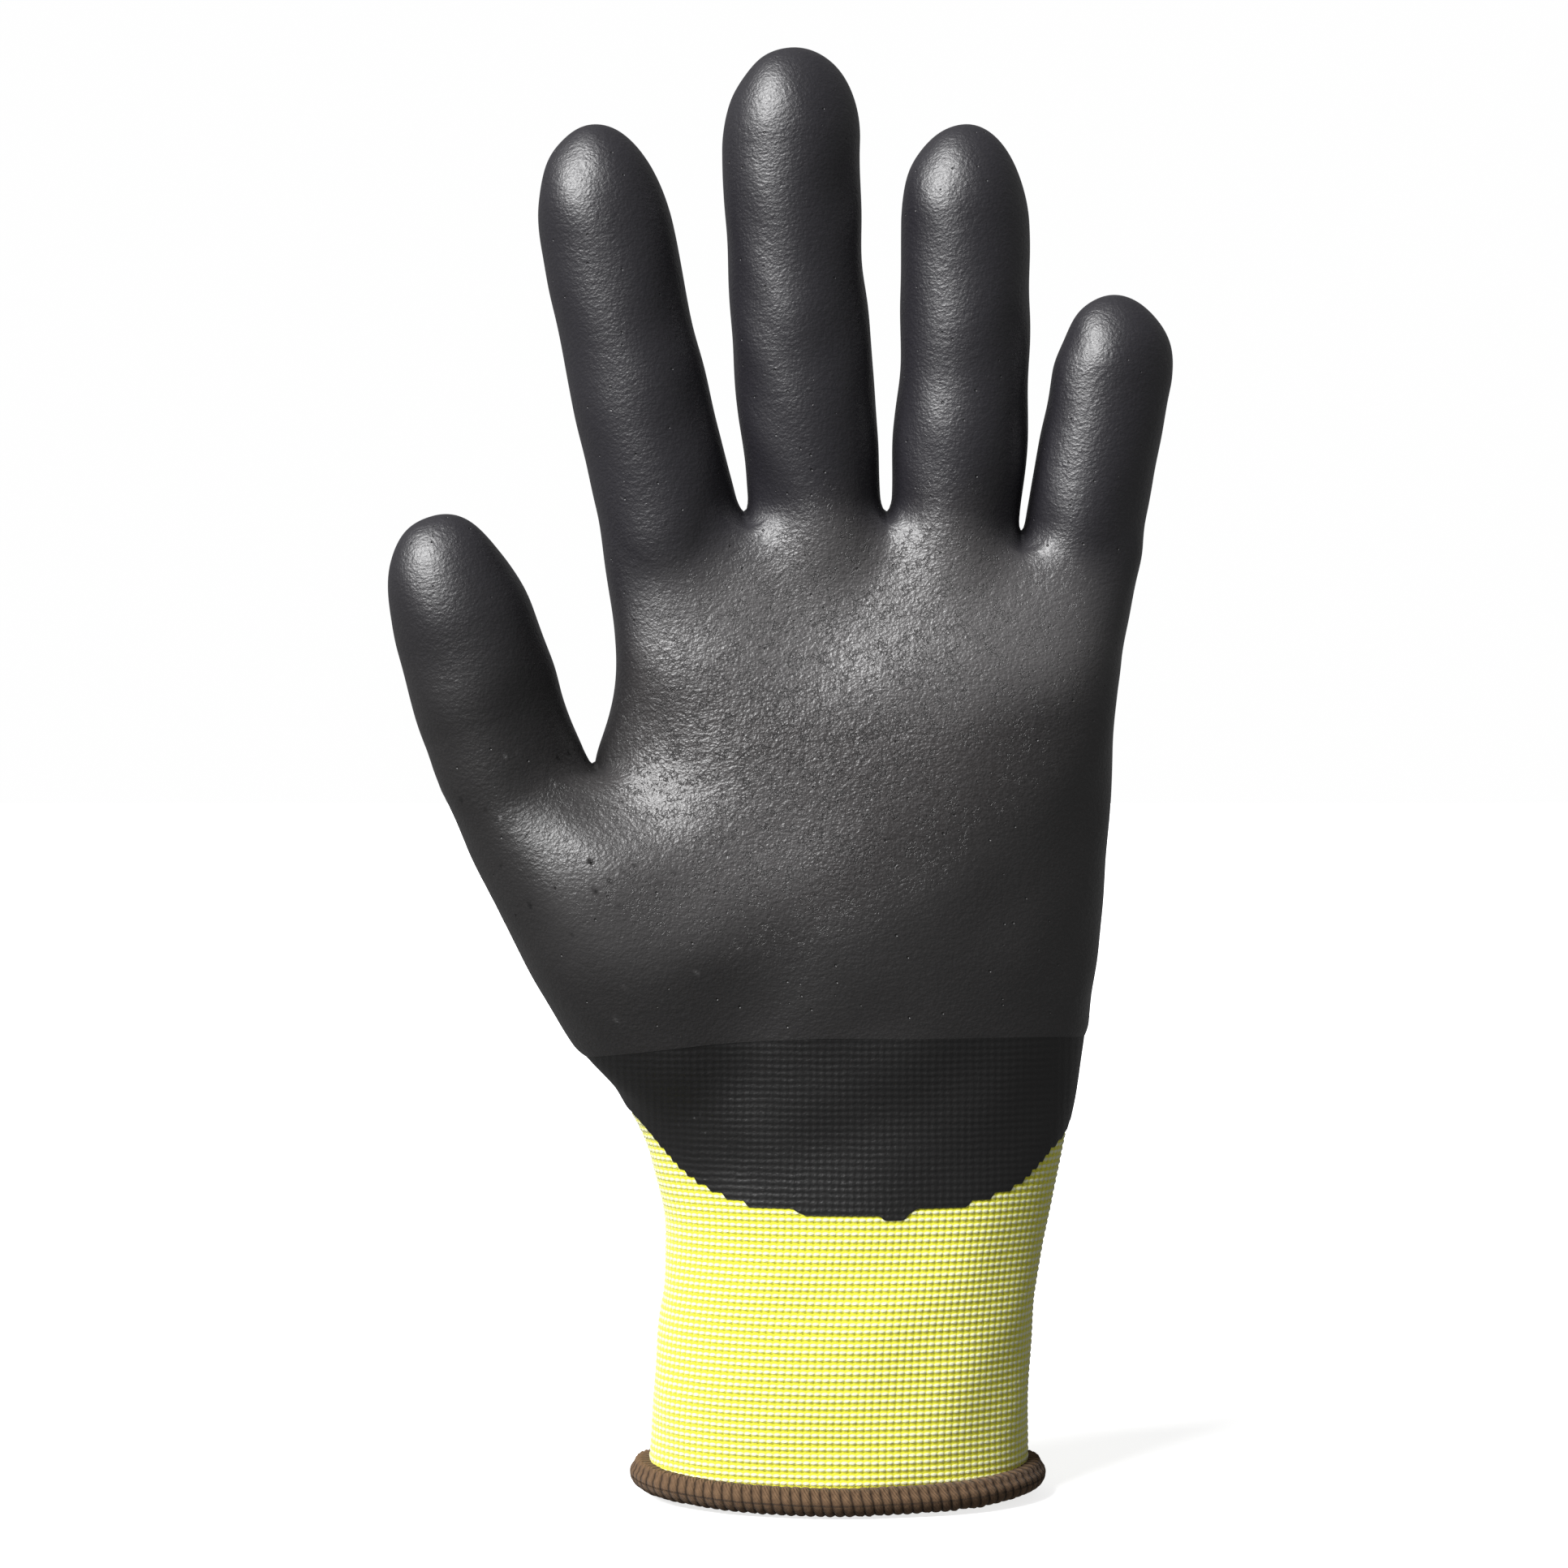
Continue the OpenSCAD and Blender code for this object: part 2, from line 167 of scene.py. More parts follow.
# Foam where neither setting gives its colour: low on the palm, a painted highlight on the pads and the ball
# of the thumb, crests of the grain, and painted shade in cracks and pores
LOW_FOAM, PAD_HIGHLIGHT_FOAM = (0.0140, 0.0130, 0.0132), (0.110, 0.106, 0.107)
CREST_FOAM, CRACK_PORE_SHADE = (0.075, 0.072, 0.074), (0.004, 0.004, 0.004)
# Painted shade in the knit's pits
PIT_SHADE = (0.20, 0.21, 0.03)


class GloveSettings(bpy.types.PropertyGroup):
    """Sizes and colours that a user would change."""
    net_step: bpy.props.FloatProperty(
        name="Palm mesh", description="Spacing of the palm's mesh", default=0.8 * MM, unit="LENGTH")
    course: bpy.props.FloatProperty(
        name="Course", description="Height of one knitted course", default=COURSE * MM, unit="LENGTH")
    wale: bpy.props.FloatProperty(
        name="Wale", description="Width of one knitted wale", default=WALE * MM, unit="LENGTH")
    stitch_relief: bpy.props.FloatProperty(
        name="Stitch relief", description="How far a stitch stands out", default=0.18 * MM, unit="LENGTH")
    wrap: bpy.props.FloatProperty(
        name="Hem wrap", description="Spacing of the hem thread's wraps", default=1.6 * MM, unit="LENGTH")
    foam_color: bpy.props.FloatVectorProperty(
        name="Foam", description="Colour of the foam coat", subtype="COLOR", default=(0.0135, 0.0125, 0.0165))
    # Partly the slack foam's own paler tone, partly a painted highlight over the palm
    slack_and_highlight_color: bpy.props.FloatVectorProperty(
        name="Slack foam", description="Colour of the foam where it is least stretched", subtype="COLOR",
        default=(0.036, 0.0325, 0.0325))
    base_color: bpy.props.FloatVectorProperty(
        name="First dip", description="Colour of the first dip", subtype="COLOR",
        default=(0.0085, 0.0082, 0.0083))
    yarn_color: bpy.props.FloatVectorProperty(
        name="Yarn", description="Colour of the liner's yarn", subtype="COLOR", default=(0.78, 0.76, 0.05))
    # Painted highlight on the loops' tops
    loop_highlight_color: bpy.props.FloatVectorProperty(
        name="Loop", description="Colour of the loops' tops", subtype="COLOR", default=(0.82, 0.84, 0.64))
    hem_color: bpy.props.FloatVectorProperty(
        name="Hem thread", description="Colour of the hem's thread", subtype="COLOR",
        default=(0.090, 0.054, 0.030))


def settings():
    return bpy.context.scene.glove_settings


# ---------------------------------------------------------------------------------------------
# The glove's form: one distance field that every piece's surface is worked out from
# ---------------------------------------------------------------------------------------------

def curve(knots, at):
    """Smooth curve through (place, value) knots: cubic pieces with the mean slope at each knot."""
    x, y = np.array(knots, float).T
    slope = np.gradient(y, x)
    at = np.clip(at, x[0], x[-1])
    i = np.clip(np.searchsorted(x, at) - 1, 0, len(x) - 2)
    h = x[i + 1] - x[i]
    t = (at - x[i]) / h
    return ((1 + 2 * t) * (1 - t) ** 2 * y[i] + t * (1 - t) ** 2 * h * slope[i]
            + t * t * (3 - 2 * t) * y[i + 1] - t * t * (1 - t) * h * slope[i + 1])


def fade(at, low, high):
    """Smooth step from 0 at low to 1 at high."""
    t = np.clip((at - low) / (high - low), 0, 1)
    return t * t * (3 - 2 * t)


def smooth_least(a, b, reach):
    """The lesser of two distances, rounded over where they differ by less than reach."""
    h = np.clip(0.5 + 0.5 * (b - a) / reach, 0, 1)
    return b + (a - b) * h - reach * h * (1 - h)


def palm_distance(p):
    """Distance along the section's radius to a superellipse whose edges and depth follow the height."""
    x, y, z = p[:, 0], p[:, 1], p[:, 2]
    left, right = curve(LEFT_EDGE, z), curve(RIGHT_EDGE, z)
    depth, n = curve(HALF_DEPTH, z), curve(SQUARENESS, z)
    dx, dy = x - (left + right) / 2, y
    reach = np.hypot(dx, dy) + 1e-6
    s = ((2 * np.abs(dx) / (right - left)) ** n + (np.abs(dy) / depth) ** n) ** (1 / n)
    side = reach * (1 - 1 / np.maximum(s, 1e-4))
    return -smooth_least(-side, curve(PALM_TOP, x) - z, PALM_TOP_ROUNDING)


def stall_axis(stall):
    """A stall's root, its unit direction and its length to the tip."""
    root, tip = np.array(stall["root"], float), np.array(stall["tip"], float)
    length = np.linalg.norm(tip - root)
    return root, (tip - root) / length, length


def stall_distance(p, stall, run_down=0.0):
    """Distance to a tube about the stall's swaying axis, a little less deep than wide, that ends in half
    an ellipsoid as long as its dome and, below, in half a ball."""
    root, along, length = stall_axis(stall)
    q = p - root
    q[:, 0] -= curve(stall["sway"], p[:, 2])
    t = q @ along
    start = length - stall["dome"]
    off = q - t[:, None] * along
    off[:, 1] /= curve(FLATNESS, length - t)
    across = np.linalg.norm(off, axis=1)
    radius = curve(stall["radii"], root[2] + np.clip(t, -run_down, start) * along[2])
    past, short = np.maximum(t - start, 0), np.minimum(t + run_down, 0)
    dome = radius * (np.hypot(across / radius, past / stall["dome"]) - 1)
    return np.where(t < -run_down, np.hypot(across, short) - radius, dome)


def thumb_distance(p):
    """Distance to the thumb: its stall, and the envelope of balls along the middle line of its ball, as
    the lowest point of a parabola through the nearest ball and its neighbours."""
    z = np.linspace(BALL_ACROSS[0][0], BALL_ACROSS[-1][0], 26)
    middle = np.stack([curve(BALL_ACROSS, z), curve(BALL_DEPTH, z), z], 1)
    balls = np.stack([np.linalg.norm(p - m, axis=1) for m in middle], 1) - curve(BALL_RADIUS, z)
    k = np.clip(balls.argmin(1), 1, len(z) - 2)[:, None]
    a, b, c = (np.take_along_axis(balls, k + step, 1)[:, 0] for step in (-1, 0, 1))
    bow = np.maximum(a - 2 * b + c, 1e-6)
    step = np.clip((a - c) / (2 * bow), -1, 1)
    return np.minimum(stall_distance(p, THUMB), b + step * (c - a) / 2 + step ** 2 * bow / 2)


def handmade(p):
    """Slight unevenness of a dipped wall: a few long waves, a fifth of a millimetre high."""
    x, y, z = p[:, 0], p[:, 1], p[:, 2]
    return 0.11 * (np.sin(0.31 * x + 0.17 * z + 1.3) * np.sin(0.23 * z - 0.4 * y)
                   + 0.8 * np.sin(0.19 * x - 0.29 * z + 0.35 * y + 4.0)
                   + 0.6 * np.sin(0.47 * z + 0.21 * x - 2.0) * np.sin(0.41 * x + 0.5))


def swell(p, middle, reach, height):
    """A soft mound of the wall: a bell-shaped rise about a point."""
    return height * np.exp(-(((p - middle) / reach) ** 2).sum(1))


def palm_relief(p):
    """Pads and hollows of the worn shape."""
    rise = 0.0
    for at, reach, height in FORMS:
        rise = rise + swell(p, at, reach, height)
    web = swell(p, WEB_HOLLOW, WEB_REACH, WEB_DEPTH) * fade(np.abs(p[:, 1]), *WEB_FADE)
    return rise - web


def glove_distance(p):
    """The whole glove: stalls meet in close crotches, and run softly into the palm, as the thumb does."""
    fingers = None
    for stall in STALLS.values():
        d = stall_distance(p, stall, ROOT_RUN)
        fingers = d if fingers is None else smooth_least(fingers, d, CROTCH_REACH)
    d = smooth_least(fingers, palm_distance(p), FINGER_REACH)
    ball_reach = curve(BALL_BLEND, p[:, 2]) * fade(np.abs(p[:, 1]), *BALL_FADE)
    thumb_reach = curve(THUMB_BLEND, p[:, 2]) + ball_reach
    return smooth_least(d, thumb_distance(p), thumb_reach) + handmade(p) - palm_relief(p)


def slope_of(field, p, step=0.02):
    """The field's slope by central differences."""
    out = np.empty_like(p)
    for k in range(3):
        d = np.zeros(3)
        d[k] = step
        out[:, k] = (field(p + d) - field(p - d)) / (2 * step)
    return out


def outward(p):
    """Unit normals of the glove's surface."""
    g = slope_of(glove_distance, p)
    return g / np.linalg.norm(g, axis=1)[:, None]


def settle(p, level=0.0, plane=None):
    """Moves points down the slope onto the surface at a level, and within a plane where one is given."""
    for _ in range(4):
        g = slope_of(glove_distance, p)
        if plane is not None:
            g = g - (g @ plane)[:, None] * plane
        p = p - ((glove_distance(p) - level) / (g * g).sum(1))[:, None] * g
    return p


def on_rays(origins, directions, near, far, level=0.0):
    """Where rays leave the surface at a level, by halving the span between near and far."""
    low = np.broadcast_to(near, len(origins)).astype(float)
    high = np.broadcast_to(far, len(origins)).astype(float)
    for _ in range(16):
        middle = (low + high) / 2
        inside = glove_distance(origins + middle[:, None] * directions) < level
        low, high = np.where(inside, middle, low), np.where(inside, high, middle)
    return origins + ((low + high) / 2)[:, None] * directions


# ---------------------------------------------------------------------------------------------
# Meshes
# ---------------------------------------------------------------------------------------------

def new_piece(name, points, faces, normals=None, slots=(), face_slots=None, uv=None):
    """A piece at the origin from points in layout millimetres, with its rest place kept as an attribute."""
    mesh = bpy.data.meshes.new(name)
    faces = [np.asarray(f) for f in faces if len(f)]
    corners = np.concatenate([f.ravel() for f in faces])
    sizes = np.concatenate([np.full(len(f), f.shape[1]) for f in faces])
    mesh.vertices.add(len(points))
    mesh.vertices.foreach_set("co", (np.asarray(points) * MM).astype(np.float32).ravel())
    mesh.loops.add(len(corners))
    mesh.loops.foreach_set("vertex_index", corners.astype(np.int32))
    mesh.polygons.add(len(sizes))
    mesh.polygons.foreach_set("loop_start", (np.cumsum(sizes) - sizes).astype(np.int32))
    mesh.polygons.foreach_set("loop_total", sizes.astype(np.int32))
    mesh.polygons.foreach_set("use_smooth", np.ones(len(sizes), bool))
    for material in slots:
        mesh.materials.append(material)
    if face_slots is not None:
        mesh.polygons.foreach_set("material_index", np.asarray(face_slots, np.int32))
    if uv is not None:
        layer = mesh.uv_layers.new(name="UVMap")
        layer.uv.foreach_set("vector", np.asarray(uv, np.float32)[corners].ravel())
    place = mesh.attributes.new("rest_place", "FLOAT_VECTOR", "POINT")
    place.data.foreach_set("vector", np.asarray(points, np.float32).ravel())
    mesh.update()
    mesh.validate()
    if normals is not None:
        mesh.normals_split_custom_set_from_vertices([tuple(n) for n in np.asarray(normals)])
    piece = bpy.data.objects.new(name, mesh)
    bpy.context.scene.collection.objects.link(piece)
    return piece


def open_edges(faces):
    """Directed edges that only one face uses."""
    pairs = np.concatenate([np.stack([f[:, k], f[:, (k + 1) % f.shape[1]]], 1)
                            for f in faces for k in range(f.shape[1])])
    big = pairs.max() + 1
    forth, back = pairs[:, 0] * big + pairs[:, 1], pairs[:, 1] * big + pairs[:, 0]
    return pairs[~np.isin(forth, back)]


def with_lining(points, faces, normals, wall):
    """Closes a skin into a wall: the same skin a wall deeper and turned over, and a rim round each opening.
    Returns points, faces, normals and each face's slot: 0 outside, 1 inside, 2 on the rim."""
    n = len(points)
    rim = open_edges(faces)
    rim_faces = np.stack([rim[:, 1], rim[:, 0], rim[:, 0] + n, rim[:, 1] + n], 1)
    inner = [f[:, ::-1] + n for f in faces]
    every = list(faces) + inner + [rim_faces]
    slots = np.concatenate([np.full(sum(len(f) for f in faces), 0),
                            np.full(sum(len(f) for f in inner), 1), np.full(len(rim_faces), 2)])
    return (np.concatenate([points, points - wall * normals]), every,
            np.concatenate([normals, -normals]), slots)


def tube_faces(rows, around, first=0):
    """Quads of a grid of rows that closes round, each row's points following the last's."""
    k, i = np.meshgrid(np.arange(rows - 1), np.arange(around), indexing="ij")
    a = first + k * around
    j = (i + 1) % around
    return np.stack([a + i, a + j, a + around + j, a + around + i], -1).reshape(-1, 4)


def surface_net(field, low, high, step):
    """Naive surface net of a field: a point in each cell that the surface crosses, at the mean of the
    crossings of its edges, and a quad round each grid edge that it crosses, facing outwards."""
    axes = [np.arange(a, b + step, step) for a, b in zip(low, high)]
    shape = [len(a) for a in axes]
    grid = np.stack(np.meshgrid(*axes, indexing="ij"), -1).reshape(-1, 3)
    values = np.concatenate([field(part) for part in np.array_split(grid, 24)]).reshape(shape)
    inside = values < 0
    cells = [s - 1 for s in shape]
    total, count = np.zeros(cells + [3]), np.zeros(cells)
    for axis in range(3):
        others = [k for k in range(3) if k != axis]
        for u in (0, 1):
            for v in (0, 1):
                start = [0, 0, 0]
                start[others[0]], start[others[1]] = u, v
                end = list(start)
                end[axis] = 1
                a = tuple(slice(s, s + c) for s, c in zip(start, cells))
                b = tuple(slice(s, s + c) for s, c in zip(end, cells))
                crossed = inside[a] != inside[b]
                share = np.where(crossed, values[a] / np.where(crossed, values[a] - values[b], 1), 0)
                place = np.array(start, float) + share[..., None] * np.eye(3)[axis]
                total += np.where(crossed[..., None], place, 0)
                count += crossed
    used = count > 0
    number = np.full(cells, -1)
    number[used] = np.arange(used.sum())
    corner = np.stack(np.nonzero(used), 1)
    points = np.array(low) + step * (corner + total[used] / count[used][:, None])
    faces = []
    for axis in range(3):
        o0, o1 = [(1, 2), (2, 0), (0, 1)][axis]
        ahead = np.take(inside, range(1, shape[axis]), axis)
        behind = np.take(inside, range(0, shape[axis] - 1), axis)
        for leaving in (True, False):
            edge = np.stack(np.nonzero((behind & ~ahead) if leaving else (ahead & ~behind)), 1)
            ok = ((edge[:, o0] > 0) & (edge[:, o1] > 0)
                  & (edge[:, o0] < cells[o0]) & (edge[:, o1] < cells[o1]))
            edge = edge[ok]
            ring = []
            for d0, d1 in ((0, 0), (-1, 0), (-1, -1), (0, -1)):
                cell = edge.copy()
                cell[:, o0] += d0
                cell[:, o1] += d1
                ring.append(number[cell[:, 0], cell[:, 1], cell[:, 2]])
            quad = np.stack(ring if leaving else ring[::-1], 1)
            faces.append(quad[(quad >= 0).all(1)])
    return points, np.concatenate(faces)


# ---------------------------------------------------------------------------------------------
# Finishes
# ---------------------------------------------------------------------------------------------

def math_step(operation, swapped=False):
    """A method of Wire that adds one Math node, fed the wire and then the other value, or swapped."""
    def step(wire, *other):
        values = (*other, wire) if swapped else (wire, *other)
        node = wire.finish.node("ShaderNodeMath", {"operation": operation}, *values)
        return Wire(wire.finish, node.outputs[0])
    return step


class Wire:
    """A number in a material: a node's output that sums, products and comparisons add Math nodes to."""

    def __init__(self, finish, socket):
        self.finish = finish
        self.socket = socket

    __add__ = math_step("ADD")
    __radd__ = math_step("ADD", True)
    __sub__ = math_step("SUBTRACT")
    __rsub__ = math_step("SUBTRACT", True)
    __mul__ = math_step("MULTIPLY")
    __truediv__ = math_step("DIVIDE")
    __pow__ = math_step("POWER")
    __gt__ = math_step("GREATER_THAN")
    fract = math_step("FRACT")
    sine = math_step("SINE")
    size = math_step("ABSOLUTE")
    least = math_step("MINIMUM")
    most = math_step("MAXIMUM")

    def ramp(self, low, high, start=0.0, end=1.0):
        """Runs smoothly from start at low to end at high, and stays there."""
        node = self.finish.node("ShaderNodeMapRange", {"interpolation_type": "SMOOTHSTEP"},
                                self, low, high, start, end)
        return Wire(self.finish, node.outputs[0])


class Finish:
    """One material, and the one way that nodes are added to it."""

    def __init__(self, name):
        self.material = bpy.data.materials.new(name)
        self.material.use_nodes = True
        self.tree = self.material.node_tree
        self.shader = self.tree.nodes["Principled BSDF"]

    def node(self, kind, setup=None, *values, **named):
        """A node: its settings first, then its inputs in order or by name, as values or links."""
        node = self.tree.nodes.new(kind)
        for key, value in (setup or {}).items():
            setattr(node, key, value)
        for socket, value in zip(node.inputs, values):
            self.feed(socket, value)
        for key, value in named.items():
            self.feed(node.inputs[key.replace("_", " ")], value)
        return node

    def feed(self, socket, value):
        if isinstance(value, Wire):
            value = value.socket
        if isinstance(value, bpy.types.NodeSocket):
            self.tree.links.new(value, socket)
        elif value is not None:
            if socket.type == "RGBA" and len(value) == 3:
                value = (*value, 1)
            socket.default_value = value

    def place(self):
        """The surface's place at rest, in layout millimetres, which stays with the skin as it bends."""
        return self.node("ShaderNodeAttribute", {"attribute_name": "rest_place"}).outputs["Vector"]

    def parts(self, vector):
        node = self.node("ShaderNodeSeparateXYZ", {}, vector)
        return [Wire(self, socket) for socket in node.outputs]

    def scaled(self, vector, by):
        return self.node("ShaderNodeVectorMath", {"operation": "MULTIPLY"}, vector, by).outputs[0]

    def noise(self, vector, scale, detail=2.0, roughness=0.5):
        node = self.node("ShaderNodeTexNoise", {}, Vector=vector, Scale=scale, Detail=detail,
                         Roughness=roughness)
        return Wire(self, node.outputs["Fac"])

    def cells(self, vector, scale, feature="F1", randomness=1.0):
        return self.node("ShaderNodeTexVoronoi", {"feature": feature}, Vector=vector, Scale=scale,
                         Randomness=randomness)

    def mix(self, share, a, b):
        node = self.node("ShaderNodeMix", {"data_type": "RGBA"})
        self.feed(node.inputs[0], share)
        self.feed(node.inputs[6], a)
        self.feed(node.inputs[7], b)
        return node.outputs[2]

    def bump(self, height, depth, strength):
        return self.node("ShaderNodeBump", {}, Strength=strength, Distance=depth, Height=height).outputs[0]

    def shade(self, **sockets):
        for key, value in sockets.items():
            self.feed(self.shader.inputs[key.replace("_", " ")], value)
        return self.material


def foam_finish():
    """Dark foam coat: a fine leathery grain with open pores and a soft sheen. On the palm, where it is
    least stretched, it is paler, partly its own tone and partly a painted highlight, and breaks into short
    curled cracks. The pads under the fingers and the ball of the thumb carry a pale painted highlight.
    Cracks and pores get painted shade."""
    f = Finish("foam_coat_finish")
    at = f.place()
    x, y, z = f.parts(at)
    across = ((x - 8) * 0.83 + (z - 134) * 0.56) / 50
    along = ((z - 134) * 0.83 - (x - 8) * 0.56) / 34
    patchy = (f.noise(at, 0.06, 3.0, 0.55) - 0.5) * 0.5
    slack = (across ** 2 + along ** 2 + patchy).ramp(0.0, 1.3, 1.0, 0.0) * y.ramp(-11, -5, 1.0, 0.0)
    wrinkle = f.noise(f.scaled(at, (1.0, 1.0, 1.3)), 0.8, 2.0, 0.55)
    grain = f.noise(f.scaled(at, (1.0, 1.0, 1.2)), 1.95, 2.0, 0.5)
    path = f.noise(at, 0.95, 2.0, 0.6)
    broken = f.noise(at, 0.5, 2.0, 0.5).ramp(0.48, 0.56)
    cracks = (path - 0.5).size().ramp(0.0, 0.04, 1.0, 0.0) * broken * (slack * 0.9 + 0.05)
    pore = f.cells(at, 0.5)
    pick = f.parts(pore.outputs["Color"])[0]
    pits = Wire(f, pore.outputs["Distance"]).ramp(0.05, 0.14, 1.0, 0.0) * (pick > 0.72)
    height = (wrinkle * 0.55 + grain * 0.5) * (slack * 0.5 + 0.55) - cracks * 0.45 - pits * 0.5
    color = f.mix(z.ramp(120, 176), LOW_FOAM, settings().foam_color[:])
    # Paler where the foam is least stretched: partly its own tone, partly a painted highlight on the palm
    color = f.mix(slack, color, settings().slack_and_highlight_color[:])
    # Painted highlight: the pads under the fingers and the ball of the thumb are painted pale where the
    # light's sheen falls on them
    pads = (((x - 20) / 44) ** 2 + ((z - 150) / 18) ** 2 + patchy).ramp(0.0, 1.4, 1.0, 0.0)
    ball = (((x + 14) / 26) ** 2 + ((z - 113 - x * 0.3) / 17) ** 2 + patchy).ramp(0.0, 1.4, 1.0, 0.0)
    pad_highlight = pads.most(ball * 0.55) * y.ramp(-13, -3, 0.62, 0.0)
    color = f.mix(pad_highlight, color, PAD_HIGHLIGHT_FOAM)
    crest = ((grain - 0.45) * 3.0).most(0.0).least(1.0) * (slack * 0.55 + 0.15)
    color = f.mix(crest, color, CREST_FOAM)
    # Painted shade: cracks and pores are painted near black where shade falls in them
    color = f.mix((cracks * 0.8).most(pits * 0.7), color, CRACK_PORE_SHADE)
    rough = 0.415 - slack * 0.02 - (grain - 0.5) * 0.2 + cracks * 0.2
    return f.shade(Base_Color=color, Roughness=rough, Specular_IOR_Level=0.64,
                   Normal=f.bump(height, 0.5 * MM, 0.68))


def base_finish():
    """First dip: near black and close, with the knit's courses and wales printing faintly through."""
    f = Finish("base_coat_finish")
    at = f.place()
    x, _, z = f.parts(at)
    wander = f.noise(at, 0.3, 2.0)
    course = ((z / COURSE + wander * 0.5) * (2 * math.pi)).sine()
    wale = ((x / WALE + wander * 0.4) * (2 * math.pi)).sine()
    grain = f.noise(at, 2.2, 3.0, 0.6)
    height = (course * 0.2 + wale * 0.15) * (wander * 1.2 + 0.4) + grain * 0.65
    rough = 0.46 + (grain - 0.5) * 0.2
    return f.shade(Base_Color=settings().base_color[:], Roughness=rough, Specular_IOR_Level=0.45,
                   Normal=f.bump(height, 0.17 * MM, 0.8))


def knit_finish():
    """Liner: a painted highlight on the loop heads in rows over a yellow band, with painted shade in the pits
    where four loops meet.
    Its UV map counts wales across and courses up."""
    f = Finish("liner_knit_finish")
    uv = f.parts(f.node("ShaderNodeUVMap", {"uv_map": "UVMap"}).outputs[0])
    u, v = uv[0].fract() - 0.5, uv[1].fract()
    at = f.place()
    fray = f.noise(at, 2.2, 3.0, 0.6)
    head = ((u / 0.52) ** 2 + ((v - 0.66) / 0.28) ** 2).ramp(0.3, 1.25, 1.0, 0.0)
    pit = (((u.size() - 0.5) / 0.20) ** 2 + ((v - 0.22) / 0.16) ** 2).ramp(0.3, 1.2, 1.0, 0.0)
    yarn = settings().yarn_color[:]
    # Painted highlight: the loop heads are painted pale where light from above catches them
    color = f.mix((head * (fray * 0.7 + 0.45)).least(1.0), yarn, settings().loop_highlight_color[:])
    # Painted shade: the pits where four loops meet are painted dark
    color = f.mix(pit * (fray * 0.4 + 0.06), color, PIT_SHADE)
    fibre = f.noise(f.scaled(at, (1.0, 1.0, 2.0)), 5.0, 2.0)
    return f.shade(Base_Color=color, Roughness=0.82, Specular_IOR_Level=0.2, Sheen_Weight=0.7,
                   Sheen_Roughness=0.4, Normal=f.bump(fibre + head * 0.8 - pit, 0.12 * MM, 0.8))


def lining_finish():
    """The liner's inside, seen through the opening: the same yarn in plain courses, with a painted highlight
    on each loop.
    """
    f = Finish("liner_inside_finish")
    at = f.place()
    z = f.parts(at)[2]
    course = ((z / COURSE) * (2 * math.pi)).sine()
    loop = f.cells(f.scaled(at, (0.8, 0.8, 0.87)), 1.0, "SMOOTH_F1", 0.35)
    bead = Wire(f, loop.outputs["Distance"])
    # Painted highlight: each loop's middle is painted pale
    color = f.mix(bead, settings().loop_highlight_color[:], settings().yarn_color[:])
    return f.shade(Base_Color=color, Roughness=0.85, Specular_IOR_Level=0.2,
                   Normal=f.bump(course * 0.4 - bead, 0.3 * MM, 0.7))


def hem_finish():
    """Hem thread: brown, with a painted highlight on each wrap's crown and painted shade at its edges, and
    twisted strands along it.
    """
    f = Finish("hem_thread_finish")
    uv = f.parts(f.node("ShaderNodeUVMap", {"uv_map": "UVMap"}).outputs[0])
    u, v = uv[0], uv[1]
    across = (u.fract() - 0.5).size() * 2
    strand = ((u * 3 + v * 14) * (2 * math.pi)).sine()
    fray = f.noise(f.place(), 1.5, 3.0)
    dark, light = settings().hem_color[:], tuple(min(1, 1.9 * c) for c in settings().hem_color)
    # Painted highlight: each wrap's crown is painted lighter
    color = f.mix((1 - across) * (fray * 1.4 - 0.1), dark, light)
    # Painted shade: the edges where wraps meet are painted dark
    color = f.mix(across.ramp(0.6, 1.0) * (fray + 0.35), color, tuple(0.2 * c for c in dark))
    return f.shade(Base_Color=color, Roughness=0.85, Specular_IOR_Level=0.15, Sheen_Weight=0.05,
                   Normal=f.bump(strand * 0.4 + fray * 0.9, 0.2 * MM, 0.8))


def elastic_finish():
    """Covered elastic thread: off-white, wound closely."""
    f = Finish("elastic_thread_finish")
    x, y, z = f.parts(f.place())
    wound = ((x + y + z * 2) * 9.0).sine()
    color = f.mix(wound * 0.5 + 0.5, (0.62, 0.62, 0.57), (0.85, 0.85, 0.8))
    return f.shade(Base_Color=color, Roughness=0.7, Normal=f.bump(wound, 0.1 * MM, 0.6))


def finish(name):
    """A finish made once and used again."""
    makers = {"foam_coat": foam_finish, "base_coat": base_finish, "liner_knit": knit_finish,
              "liner_inside": lining_finish, "hem_thread": hem_finish, "elastic_thread": elastic_finish}
    return bpy.data.materials.get(name + "_finish") or makers[name]()


# ---------------------------------------------------------------------------------------------
# Pieces
# ---------------------------------------------------------------------------------------------

def metres(p):
    return tuple(float(c) * MM for c in p)


def skin_piece(name, points, faces, replaces):
    """A coated stretch of wall: foam outside, liner inside, a rim of liner and coat between."""
    used = np.unique(np.concatenate([f.ravel() for f in faces]))
    number = np.full(len(points), -1)
    number[used] = np.arange(len(used))
    faces, points = [number[f] for f in faces], points[used]
    normals = outward(points)
    wall = with_lining(points, faces, normals, WALL)
    above = np.clip((points[:, 2] - foam_line(points[:, 0]) - FOAM_EDGE) / FOAM_TAPER, 0, 1)
    thin = (FOAM - FOAM_LIP) * (1 - above) ** 2
    wall[0][:len(points)] -= thin[:, None] * normals
    piece = new_piece(name, wall[0], wall[1], wall[2],
                      [finish("foam_coat"), finish("liner_inside")], (wall[3] == 1).astype(int))
    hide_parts(*replaces)
    return piece


